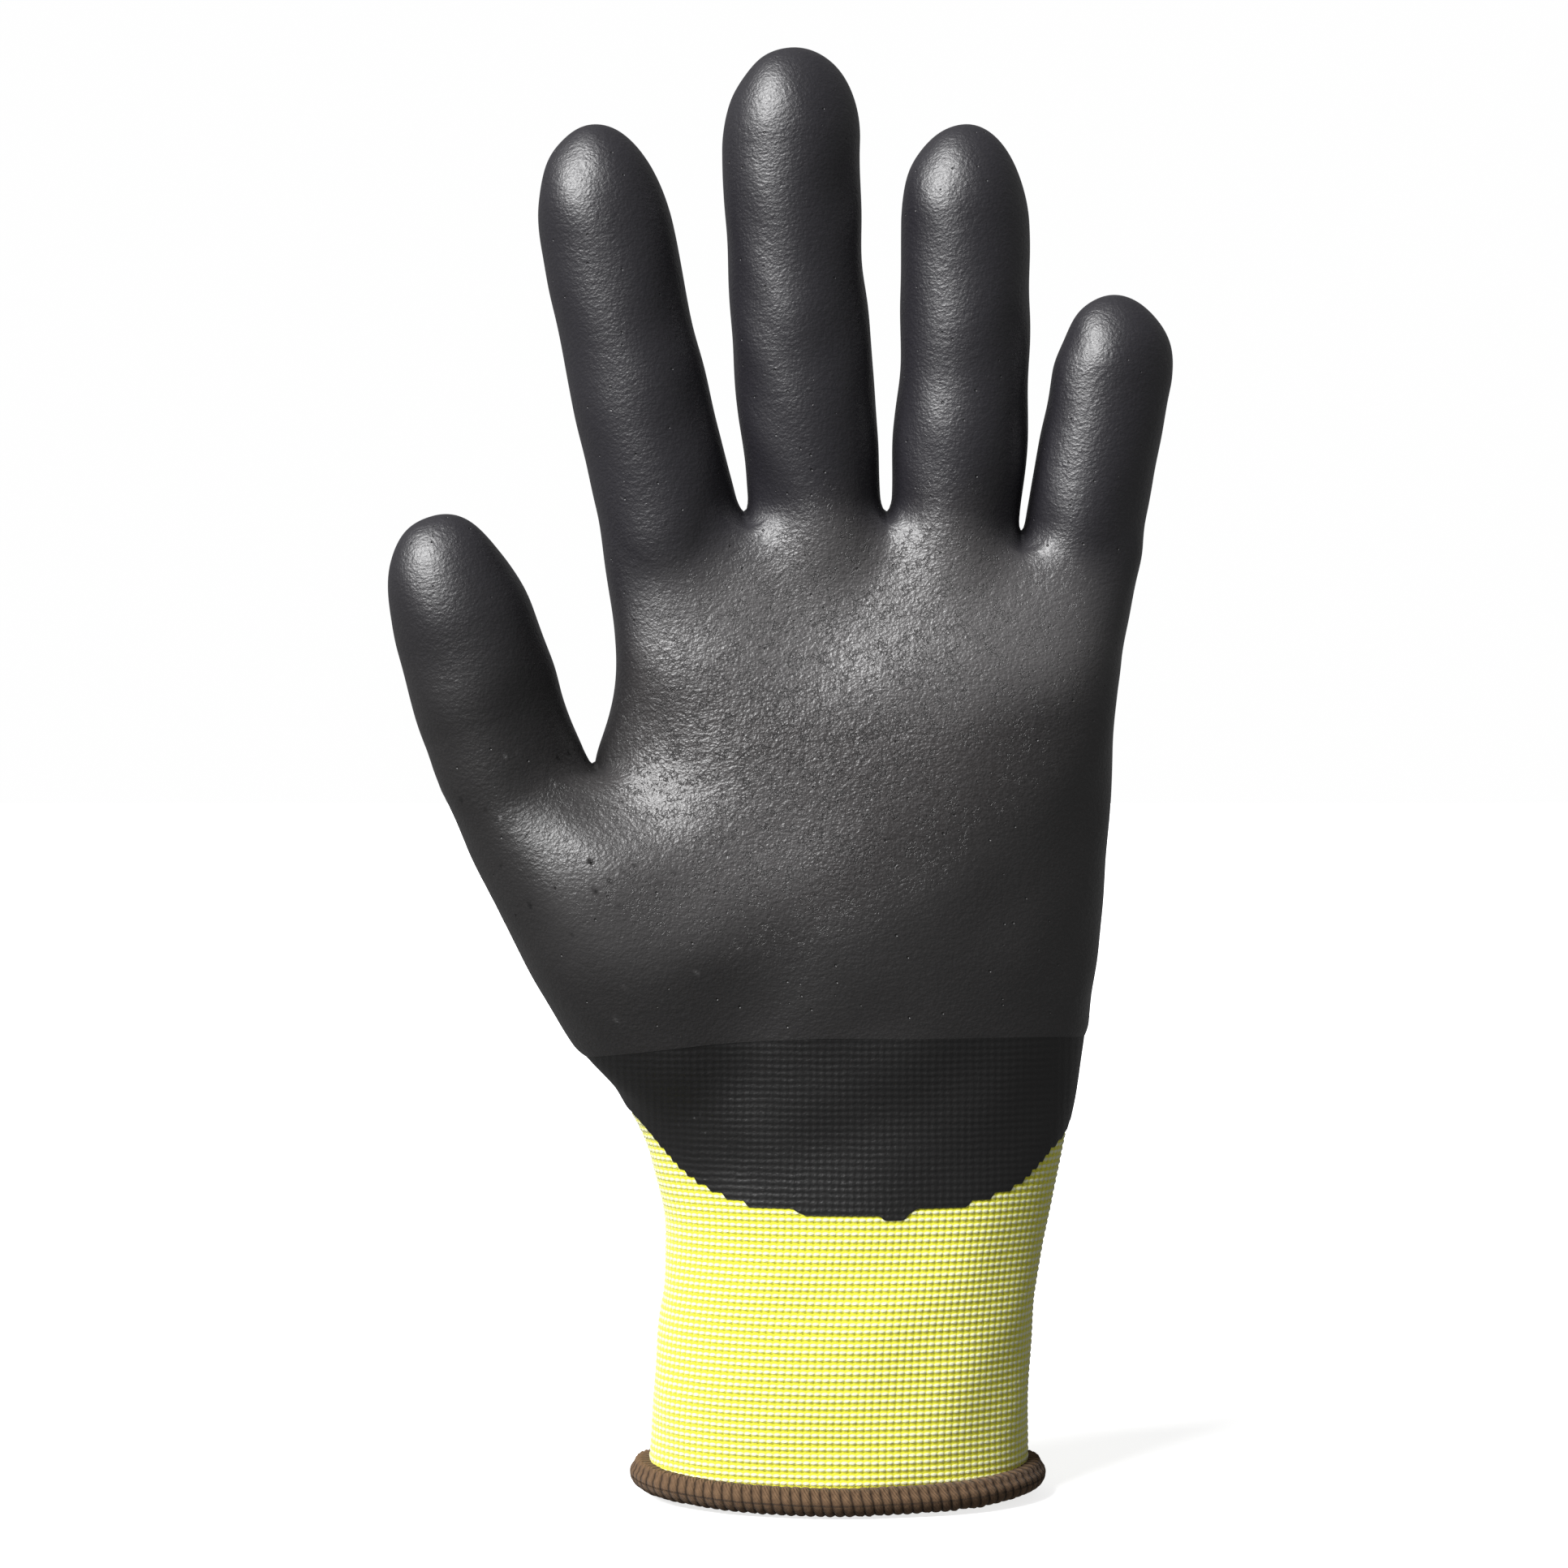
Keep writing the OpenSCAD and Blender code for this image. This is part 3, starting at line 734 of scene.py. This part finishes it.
def stall_grid(stall, start, end, closed):
    """Points of a stall's surface: rings of rays across its axis from start to end, and for a closed
    end rings of rays from where its dome starts, fanned as on an ellipsoid, with one point at the pole."""
    root, along, length = stall_axis(stall)
    side = np.cross([0.0, 1.0, 0.0], along)
    side /= np.linalg.norm(side)
    front = np.cross(along, side)
    around = STALL_AROUND
    angle = 2 * np.pi * np.arange(around) / around
    stop = length - stall["dome"] if closed else end
    t = np.linspace(start, stop, max(2, int(round((stop - start) / STALL_STEP)) + 1))
    tilt = np.zeros(len(t))
    if closed:
        fan = np.linspace(0, np.pi / 2, DOME_RINGS)[1:]
        t, tilt = np.append(t, np.full(len(fan), stop)), np.append(tilt, fan)
    radius = curve(stall["radii"], root[2] + t * along[2])
    radial = np.cos(angle)[:, None] * side + np.sin(angle)[:, None] * front
    spoke = ((radius * np.cos(tilt))[:, None, None] * radial
             + (stall["dome"] * np.sin(tilt))[:, None, None] * along)
    reach = np.linalg.norm(spoke, axis=-1)
    axis = root + t[:, None] * along
    axis[:, 0] += curve(stall["sway"], axis[:, 2])
    origins = np.broadcast_to(axis[:, None], spoke.shape).reshape(-1, 3)
    slack = 1.0 + 2.5 * np.repeat(np.sin(tilt), around)
    points = on_rays(origins, (spoke / reach[..., None]).reshape(-1, 3), reach.ravel() - 4.0,
                     reach.ravel() + slack)
    if not closed:
        return points, [tube_faces(len(t), around)]
    last = (len(t) - 2) * around
    ring = last + np.arange(around)
    cap = np.stack([ring, last + (np.arange(around) + 1) % around, np.full(around, last + around)], 1)
    return points[:last + around + 1], [tube_faces(len(t) - 1, around), cap]


def bend_span(stall, which):
    """Where a stall's bend begins and ends, in millimetres along its axis."""
    middle, reach = stall["bends"][which]
    return middle - reach, middle + reach


def layers(*parts):
    """The knit and the coat of each named part, as the frame's nodes are called."""
    return [f"{part}_{layer}" for part in parts for layer in ("knit", "coat")]


def make_finger(name):
    """The two bending lengths of one stall: over its lower joint, and over its upper joint to the tip."""
    stall = STALLS[name]
    start, low_end = bend_span(stall, 0)
    split = (low_end + bend_span(stall, 1)[0]) / 2
    points, faces = stall_grid(stall, start, split, False)
    lower = skin_piece(f"{name}_lower_skin", points, faces,
                       layers(f"{name}_lower_joint", f"{name}_middle"))
    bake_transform(lower)
    points, faces = stall_grid(stall, split, None, True)
    upper = skin_piece(f"{name}_end_skin", points, faces,
                       layers(f"{name}_upper_joint", f"{name}_tip"))
    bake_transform(upper)


def make_thumb_end():
    """The thumb's end, from its root over its joint to the tip."""
    points, faces = stall_grid(THUMB, bend_span(THUMB, 1)[0], None, True)
    piece = skin_piece("thumb_end_skin", points, faces, layers("thumb_joint", "thumb_tip"))
    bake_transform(piece)


def find_web():
    """The crotch between thumb and palm: the lowest open point of the gap in the middle of the depth."""
    x = np.linspace(-40, -26, 141)
    z = np.linspace(118, 140, 221)
    grid = np.stack(np.meshgrid(x, [-2.0], z, indexing="ij"), -1).reshape(-1, 3)
    outside = glove_distance(grid).reshape(len(x), len(z))
    k = int(np.nonzero(outside.max(0) > 0)[0].min())
    return np.array([x[outside[:, k].argmax()], 0.0, z[k]])


def cut_mesh(points, faces, cuts, on_surface=True):
    """Cuts a skin with planes. Each cut is (which points it may cut, a point of the plane, its normal)."""
    work = bmesh.new()
    scratch = bpy.data.meshes.new("scratch")
    scratch.from_pydata(points.tolist(), [], [f for group in faces for f in group.tolist()])
    work.from_mesh(scratch)
    bpy.data.meshes.remove(scratch)
    snapped = work.verts.layers.int.new("plane")
    for number, (reach, point, normal) in enumerate(cuts, 1):
        work.verts.ensure_lookup_table()
        co = np.array([v.co[:] for v in work.verts])
        near = reach(co)
        chosen = [f for f in work.faces if all(near[v.index] for v in f.verts)]
        edges = {e for f in chosen for e in f.edges}
        verts = {v for f in chosen for v in f.verts}
        made = bmesh.ops.bisect_plane(work, geom=chosen + list(edges) + list(verts), dist=0.01,
                                      plane_co=Vector(point), plane_no=Vector(normal))
        for item in made["geom_cut"]:
            if isinstance(item, bmesh.types.BMVert):
                item[snapped] = number
        work.verts.index_update()
    bmesh.ops.triangulate(work, faces=[f for f in work.faces if len(f.verts) > 4])
    work.verts.index_update()
    co = np.array([v.co[:] for v in work.verts])
    plane = np.array([v[snapped] for v in work.verts])
    quads = np.array([[v.index for v in f.verts] for f in work.faces if len(f.verts) == 4])
    triangles = np.array([[v.index for v in f.verts] for f in work.faces if len(f.verts) == 3])
    work.free()
    for number, (_, point, normal) in enumerate(cuts if on_surface else [], 1):
        on = plane == number
        n = np.array(normal, float)
        co[on] = settle(co[on], plane=n / np.linalg.norm(n))
    return co, [f for f in (quads, triangles) if len(f)]


def foam_line(x):
    """How far the foam's edge lies above its level: a low arch, lower towards the thumb."""
    return 0.6 - np.where(x < 13, 3.8 * ((x - 13) / 44) ** 2, 0.8 * ((x - 13) / 44) ** 2)


def make_palm():
    """The palm with the finger roots, and the ball of the thumb's outer side, from one surface net."""
    step = settings().net_step / MM
    points, faces = surface_net(glove_distance, NET_LOW, NET_HIGH, step)
    points = settle(points)
    points[:, 2] -= foam_line(points[:, 0])
    level = ((lambda p: np.abs(p[:, 2] - FOAM_EDGE) < 3), (0, 0, FOAM_EDGE), (0, 0, 1))
    points, faces = cut_mesh(points, [faces], [level], False)
    faces = [group[points[group][..., 2].mean(1) > FOAM_EDGE] for group in faces]
    points[:, 2] += foam_line(points[:, 0])
    web = find_web()
    fold = np.array([-math.sin(THUMB_FOLD_LEAN), 0, math.cos(THUMB_FOLD_LEAN)])
    gap = web[0] - 0.2

    def by_thumb(p):
        return p[:, 0] < gap - GAP_LEAN * np.maximum(p[:, 2] - web[2], 0)

    def beyond_fold(p):
        return ((p - web) @ fold > 0) & by_thumb(p)

    def along_stall(p, stall):
        root, along, _ = stall_axis(stall)
        return (p - root) @ along

    def nearest_stall(p):
        return np.argmin([stall_distance(p, s, ROOT_RUN) for s in STALLS.values()], 0)

    def cut_reach(k, stall, place):
        def reach(p):
            close = np.abs(along_stall(p, stall) - place) < CUT_NEAR
            return close & (nearest_stall(p) == k) & ~by_thumb(p)
        return reach

    thumb_root, thumb_along, _ = stall_axis(THUMB)
    thumb_place = bend_span(THUMB, 1)[0]

    def fold_reach(p):
        return (p[:, 0] < gap + 1) & (np.abs((p - web) @ fold) < CUT_NEAR) & (p[:, 2] < web[2] + 1)

    def thumb_reach(p):
        return by_thumb(p) & (np.abs(along_stall(p, THUMB) - thumb_place) < CUT_NEAR)

    cuts = [(fold_reach, web, fold),
            (thumb_reach, thumb_root + thumb_place * thumb_along, thumb_along)]
    places = []
    for k, stall in enumerate(STALLS.values()):
        root, along, _ = stall_axis(stall)
        place = bend_span(stall, 0)[0]
        places.append(place)
        cuts.append((cut_reach(k, stall, place), root + place * along, along))
    points, faces = cut_mesh(points, faces, cuts)

    palm, thumb = [], []
    for group in faces:
        middle = points[group].mean(1)
        keep = np.ones(len(group), bool)
        near = nearest_stall(middle)
        on_thumb = beyond_fold(middle)
        for k, stall in enumerate(STALLS.values()):
            keep &= ~((near == k) & ~on_thumb & (middle[:, 2] > STALLS_ABOVE)
                      & (along_stall(middle, stall) > places[k]))
        palm.append(group[keep & ~on_thumb])
        thumb.append(group[keep & on_thumb & (along_stall(middle, THUMB) < thumb_place)])

    shell = skin_piece("palm_skin", points, palm,
                       ["palm_foam_coat", "palm_base_coat", "palm_knit"]
                       + layers("knuckle", *(f"{name}_root" for name in STALLS)))
    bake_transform(shell)
    ball = skin_piece("thumb_root_skin", points, thumb, layers("thumb_base", "thumb_root"))
    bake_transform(ball)


def hand_ring(z, around, level):
    """A ring of the hand's surface at each height: rays in the level plane from the section's middle."""
    angle = 2 * np.pi * np.arange(around) / around
    z = np.asarray(z, float)
    heights = z if z.ndim == 2 else np.repeat(z[:, None], around, 1)
    middle = (curve(LEFT_EDGE, heights) + curve(RIGHT_EDGE, heights)) / 2
    origins = np.stack([middle, np.zeros_like(middle), heights], -1)
    directions = np.broadcast_to(np.stack([np.cos(angle), np.sin(angle), np.zeros(around)], -1),
                                 origins.shape)
    half = (curve(RIGHT_EDGE, heights) - curve(LEFT_EDGE, heights)) / 2
    return on_rays(origins.reshape(-1, 3), directions.reshape(-1, 3), 8.0,
                   (half + 22).ravel(), level).reshape(heights.shape + (3,))


def loop_relief(u, v):
    """Height of a knitted loop, from about 0 in the pits to 1 on the loop's head: an elliptic bead in the
    upper part of the course, a lower band under it, and a pit between neighbouring loops."""
    a, b = (u % 1.0) - 0.5, v % 1.0
    head = np.clip(1.15 - ((a / 0.50) ** 2 + ((b - 0.62) / 0.36) ** 2), 0, 1)
    band = 0.3 * np.clip(1 - np.abs(b - 0.12) / 0.2, 0, 1)
    pit = np.clip(1 - (((np.abs(a) - 0.5) / 0.25) ** 2 + ((b - 0.12) / 0.2) ** 2), 0, 1)
    return np.sqrt(head) * 0.95 + band - 0.4 * pit


def knit_piece(name, first, last, keep=None):
    """A stretch of the knitted cuff between two courses. Rings of evenly spaced columns stand out from the
    liner's face by the loops' relief. A plain inner face a wall deeper, with rims, closes it. Where keep
    is given, only its part of the face stays."""
    course, wale = settings().course / MM, settings().wale / MM
    rows = (last - first) * LOOP_ROWS + 1
    heights = (first + np.arange(-1, rows + 1) / LOOP_ROWS) * course
    coarse = hand_ring(heights, RING_RAYS, -KNIT_DEPTH)
    measure = hand_ring(np.array([WRIST[0]]), RING_RAYS, -KNIT_DEPTH)[0]
    wales = int(round(ring_length(measure)[-1] / wale))
    around = wales * LOOP_COLUMNS
    share = np.arange(around) / around
    flat = np.stack([spread_round(ring, share) for ring in coarse])
    u = np.broadcast_to(share * wales, flat.shape[:2])
    v = np.broadcast_to((heights / course)[:, None], flat.shape[:2])
    normals = outward(flat.reshape(-1, 3)).reshape(flat.shape)
    relief = (settings().stitch_relief / MM) * (loop_relief(u, v) - 0.7)
    face = flat + relief[..., None] * normals
    slopes = np.cross(np.roll(face, -1, 1) - np.roll(face, 1, 1), np.gradient(face, axis=0))
    slopes /= np.linalg.norm(slopes, axis=-1)[..., None]
    uv = np.stack([u, v], -1)
    face, flat, normals, slopes, uv = (part[1:-1] for part in (face, flat, normals, slopes, uv))
    faces = tube_faces(rows, around)
    if keep is None:
        few = np.unique(np.append(np.arange(0, rows, INNER_ROWS), rows - 1))
        inner = (flat - KNIT_WALL * normals)[few]
        points = np.concatenate([face.reshape(-1, 3), inner.reshape(-1, 3)])
        uv = np.concatenate([uv.reshape(-1, 2), uv[few].reshape(-1, 2)])
        facing = np.concatenate([slopes.reshape(-1, 3), -normals[few].reshape(-1, 3)])
        n, m = rows * around, (rows - 1) * around
        k = np.arange(around)
        j = (k + 1) % around
        low = np.stack([j, k, n + k, n + j], 1)
        top = n + (len(few) - 1) * around
        high = np.stack([m + k, m + j, top + j, top + k], 1)
        faces = [faces, tube_faces(len(few), around, n)[:, ::-1], low, high]
    else:
        middle = face.reshape(-1, 3)[faces].mean(1)
        faces = faces[keep(middle)]
        used = np.unique(faces)
        number = np.full(rows * around, -1)
        number[used] = np.arange(len(used))
        wall = with_lining(face.reshape(-1, 3)[used], [number[faces]], normals.reshape(-1, 3)[used],
                           KNIT_WALL)
        points, faces = wall[0], wall[1]
        facing = np.concatenate([slopes.reshape(-1, 3)[used], wall[2][len(used):]])
        uv = np.tile(uv.reshape(-1, 2)[used], (2, 1))
    piece = new_piece(name, points, faces, facing, [finish("liner_knit")], None, uv)
    return piece


def ring_length(ring):
    """Length along a closed ring up to each of its points, and all the way round."""
    step = np.linalg.norm(np.diff(np.vstack([ring, ring[:1]]), axis=0), axis=1)
    return np.concatenate([[0], np.cumsum(step)])


def spread_round(ring, share):
    """Points at given shares of the way round a closed ring."""
    along, closed = ring_length(ring), np.vstack([ring, ring[:1]])
    return np.stack([np.interp(share * along[-1], along, closed[:, k]) for k in range(3)], 1)


def make_cuff():
    """The knitted cuff: its lower, stiff length, and two lengths that bend at the wrist, the upper of
    which runs a little way under the first dip."""
    lower = knit_piece("cuff_knit_skin", CUFF_COURSES[0], CUFF_COURSES[1])
    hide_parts("cuff_knit")
    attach(lower, "cuff")
    upper = knit_piece("wrist_knit_skin", CUFF_COURSES[1], CUFF_COURSES[2])
    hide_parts("wrist_knit")
    tucked = knit_piece("tucked_knit_skin", CUFF_COURSES[2], CUFF_COURSES[3],
                        lambda p: p[:, 2] < base_edge_height(p[:, 0], p[:, 1]) + TUCK)
    for piece in (upper, tucked):
        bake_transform(piece)


def stairs(u):
    """Whole steps with slanting risers: flat for most of each step, then up to the next."""
    return np.floor(u) + np.clip((u % 1.0 - 0.72) / 0.28, 0, 1)


def base_edge_height(x, y):
    """Height of the first dip's edge: it rises from palm to back and towards the thumb's side, in steps
    of one course, with a drip where it hangs lowest."""
    course = settings().course / MM
    start, over, height = THUMB_RISE
    thumb_side = np.clip((start - x) / over, 0, 1) ** 2 * height * np.clip(1 - y / 20, 0, 1)
    start, over, height = LITTLE_RISE
    little_side = np.clip((x - start) / over, 0, 1) ** 2 * height
    plain = BASE_EDGE + BASE_SHIFT[0] + BASE_SLOPE * y + thumb_side + little_side
    ragged = 0.10 * np.sin(0.55 * x + 1.0) + 0.04 * np.sin(1.7 * x + 0.4 * y)
    drip = DRIP[2] * np.exp(-((x - DRIP[0]) / DRIP[1]) ** 8) * (y < 0)
    return (stairs(plain / course + ragged) - drip) * course + BASE_SHIFT[1]


def make_base_coat():
    """The first dip below the foam coat: a thin wall from its stepped edge to just under the foam."""
    guess = hand_ring(np.array([BASE_EDGE]), BASE_AROUND, -FOAM)[0]
    for _ in range(4):
        top = FOAM_EDGE + foam_line(guess[:, 0]) + BASE_LAP
        low = np.minimum(base_edge_height(guess[:, 0], guess[:, 1]), top - BASE_LEAST)
        guess = hand_ring(low[None], BASE_AROUND, -FOAM)[0]
    share = np.linspace(0, 1, BASE_ROWS)[:, None]
    heights = low[None] + (top - low[None]) * share
    points = hand_ring(heights, BASE_AROUND, -FOAM).reshape(-1, 3)
    normals = outward(points)
    thin = 1 - np.clip(share * (top - low) / BASE_TAPER, 0, 1)
    points = points - (BASE_THIN * thin.ravel() ** 2)[:, None] * normals
    wall = with_lining(points, [tube_faces(BASE_ROWS, BASE_AROUND)], normals, BASE_WALL)
    piece = new_piece("base_coat_skin", wall[0], wall[1], wall[2], [finish("base_coat")])
    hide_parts("wrist_base_coat")
    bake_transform(piece)


def make_hem():
    """The overlocked hem: an oval roll carried round the cuff's edge. Each wrap of its thread stands out
    by a half sine across its width, more at the scalloped foot. A chain of slanting loops runs along the
    top of the outer side, with a groove under it."""
    ring = hand_ring(np.array([0.5]), HEM_RAYS, -KNIT_DEPTH)[0]
    wraps = int(round(ring_length(ring)[-1] / (settings().wrap / MM)))
    per_wrap, across = 10, 44
    around = wraps * per_wrap
    line = spread_round(ring, np.arange(around) / around)
    out = outward(line)
    out[:, 2] = 0
    out /= np.linalg.norm(out, axis=1)[:, None]
    turn = 2 * np.pi * np.arange(across)[None] / across
    place = np.arange(around)[:, None] / per_wrap
    chance = np.random.default_rng(11).normal(size=(3, wraps))
    size, lean, drop = chance[:, (place[:, 0] % wraps).astype(int)][..., None]
    phase = place + 0.3 * np.sin(turn)
    crown = np.abs(np.sin(np.pi * phase)) ** 0.6
    foot = np.clip(-np.sin(turn + 0.3), 0, 1) ** 2
    scallop = foot * (0.10 * crown - 0.07 + 0.02 * drop * crown)
    swelling = 0.93 + 0.07 * crown + 0.012 * size * crown + scallop
    chain = np.exp(-((turn - CHAIN_AT) / CHAIN_WIDTH) ** 2)
    link = 0.5 + 0.5 * np.cos(2 * np.pi * (place - (turn - CHAIN_AT) * 0.9))
    groove = np.exp(-((turn - GROOVE_AT) / GROOVE_WIDTH) ** 2)
    swelling = swelling + chain * (0.03 + 0.13 * link) - 0.06 * groove
    sideways = HEM_OUT + HEM_REACH * np.cos(turn) * swelling
    points = line[:, None] + out[:, None] * sideways[..., None]
    height = HEM_MIDDLE + (HEM_MIDDLE - 0.15) * np.sin(turn) * swelling
    lift = HEM_LIFT * (1 - (line[:, 1] / line[:, 1].min()) ** 2)
    points[..., 2] = np.maximum(height + lift[:, None], 0.0)
    u = np.broadcast_to(phase, crown.shape)
    v = np.broadcast_to(turn / (2 * np.pi), crown.shape)
    i, k = np.meshgrid(np.arange(around), np.arange(across), indexing="ij")
    j, m = (i + 1) % around, (k + 1) % across
    faces = np.stack([i * across + k, j * across + k, j * across + m, i * across + m], -1).reshape(-1, 4)
    piece = new_piece("hem_skin", points.reshape(-1, 3), [faces], None, [finish("hem_thread")], None,
                      np.stack([u.ravel(), v.ravel()], 1))
    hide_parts("hem_overlock")
    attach(piece, "cuff")


def make_elastic():
    """The elastic threads keep their frame pieces, and get their finish."""
    thread = bpy.data.objects["cuff_elastic"]
    for slot in thread.material_slots:
        slot.material = finish("elastic_thread")


# ---------------------------------------------------------------------------------------------
# Stage
# ---------------------------------------------------------------------------------------------

EYE_DISTANCE = 560.0
EYE_HEIGHT = 122.3
EYE_SIDE = 1.0
VIEW_HALF = 135.6                  # half of what the camera sees at the glove's middle
KEY_FROM = (-0.54, -0.48, 0.67)
KEY_POWER, KEY_SPREAD = 6.4, math.radians(32)
ROOM_LIGHT, BACKDROP = 0.215, 0.995
FLOOR_GLOW = 0.75                  # keeps the shadow on the floor light


def make_camera():
    """A level camera in front of the palm."""
    data = bpy.data.cameras.new("camera")
    camera = bpy.data.objects.new("camera", data)
    bpy.context.scene.collection.objects.link(camera)
    camera.location = metres((EYE_SIDE, -EYE_DISTANCE, EYE_HEIGHT))
    camera.rotation_euler = (math.pi / 2, 0, 0)
    data.sensor_fit = "HORIZONTAL"
    data.angle = 2 * math.atan(VIEW_HALF / EYE_DISTANCE)
    data.clip_start = 0.01
    bpy.context.scene.camera = camera


def make_stage():
    """A pale floor and plain soft studio light."""
    bpy.ops.mesh.primitive_plane_add(size=40.0, location=(0, 0, -0.0002))
    floor = bpy.context.object
    floor.name = "floor"
    f = Finish("floor")
    floor.data.materials.append(f.shade(Base_Color=(0.86, 0.86, 0.86), Roughness=0.9,
                                        Emission_Color=(1, 1, 1), Emission_Strength=FLOOR_GLOW))
    floor.visible_diffuse = False
    floor.visible_glossy = False
    sun = bpy.data.lights.new("key_light", "SUN")
    sun.energy = KEY_POWER
    sun.angle = KEY_SPREAD
    lamp = bpy.data.objects.new("key_light", sun)
    bpy.context.scene.collection.objects.link(lamp)
    lamp.rotation_euler = Vector(KEY_FROM).to_track_quat("Z", "Y").to_euler()
    world = bpy.data.worlds.new("studio")
    bpy.context.scene.world = world
    world.use_nodes = True
    sky = world.node_tree.nodes["Background"]
    seen = world.node_tree.nodes.new("ShaderNodeLightPath").outputs["Is Camera Ray"]
    power = world.node_tree.nodes.new("ShaderNodeMapRange")
    power.inputs["To Min"].default_value = ROOM_LIGHT
    power.inputs["To Max"].default_value = BACKDROP
    world.node_tree.links.new(seen, power.inputs["Value"])
    world.node_tree.links.new(power.outputs[0], sky.inputs["Strength"])
    sky.inputs["Color"].default_value = (1, 1, 1, 1)
    bpy.context.scene.view_settings.view_transform = "Standard"
    make_camera()


# ---------------------------------------------------------------------------------------------
# Operators, panel and run
# ---------------------------------------------------------------------------------------------

class GLOVE_OT_stage(bpy.types.Operator):
    """Set up the floor, the light and the camera"""
    bl_idname = "glove.stage"
    bl_label = "Stage"

    def execute(self, context):
        make_stage()
        return {"FINISHED"}


class GLOVE_OT_palm(bpy.types.Operator):
    """Make the foam-coated palm and the root of the thumb"""
    bl_idname = "glove.palm"
    bl_label = "Palm"

    def execute(self, context):
        make_palm()
        return {"FINISHED"}


class GLOVE_OT_fingers(bpy.types.Operator):
    """Make the four finger stalls and the thumb's end"""
    bl_idname = "glove.fingers"
    bl_label = "Fingers and thumb"

    def execute(self, context):
        for name in STALLS:
            make_finger(name)
        make_thumb_end()
        return {"FINISHED"}


class GLOVE_OT_base_coat(bpy.types.Operator):
    """Make the first dip's band at the wrist"""
    bl_idname = "glove.base_coat"
    bl_label = "First dip"

    def execute(self, context):
        make_base_coat()
        return {"FINISHED"}


class GLOVE_OT_cuff(bpy.types.Operator):
    """Knit the cuff and finish its elastic threads"""
    bl_idname = "glove.cuff"
    bl_label = "Cuff"

    def execute(self, context):
        make_cuff()
        make_elastic()
        return {"FINISHED"}


class GLOVE_OT_hem(bpy.types.Operator):
    """Overlock the hem"""
    bl_idname = "glove.hem"
    bl_label = "Hem"

    def execute(self, context):
        make_hem()
        return {"FINISHED"}


class GLOVE_PT_sidebar(bpy.types.Panel):
    """Lists the glove's pieces and settings"""
    bl_idname = "GLOVE_PT_sidebar"
    bl_label = "Glove"
    bl_space_type = "VIEW_3D"
    bl_region_type = "UI"
    bl_category = "Glove"

    def draw(self, context):
        for operator in STEPS:
            self.layout.operator(operator.bl_idname)
        for name in GloveSettings.__annotations__:
            self.layout.prop(context.scene.glove_settings, name)


STEPS = (GLOVE_OT_stage, GLOVE_OT_palm, GLOVE_OT_fingers, GLOVE_OT_base_coat, GLOVE_OT_cuff, GLOVE_OT_hem)
CLASSES = (GloveSettings, *STEPS, GLOVE_PT_sidebar)


def register():
    for cls in CLASSES:
        bpy.utils.register_class(cls)
    bpy.types.Scene.glove_settings = bpy.props.PointerProperty(type=GloveSettings)


def unregister():
    del bpy.types.Scene.glove_settings
    for cls in reversed(CLASSES):
        bpy.utils.unregister_class(cls)


def main():
    register()
    for operator in STEPS:
        group, name = operator.bl_idname.split(".")
        getattr(getattr(bpy.ops, group), name)()


if __name__ == "__main__":
    main()
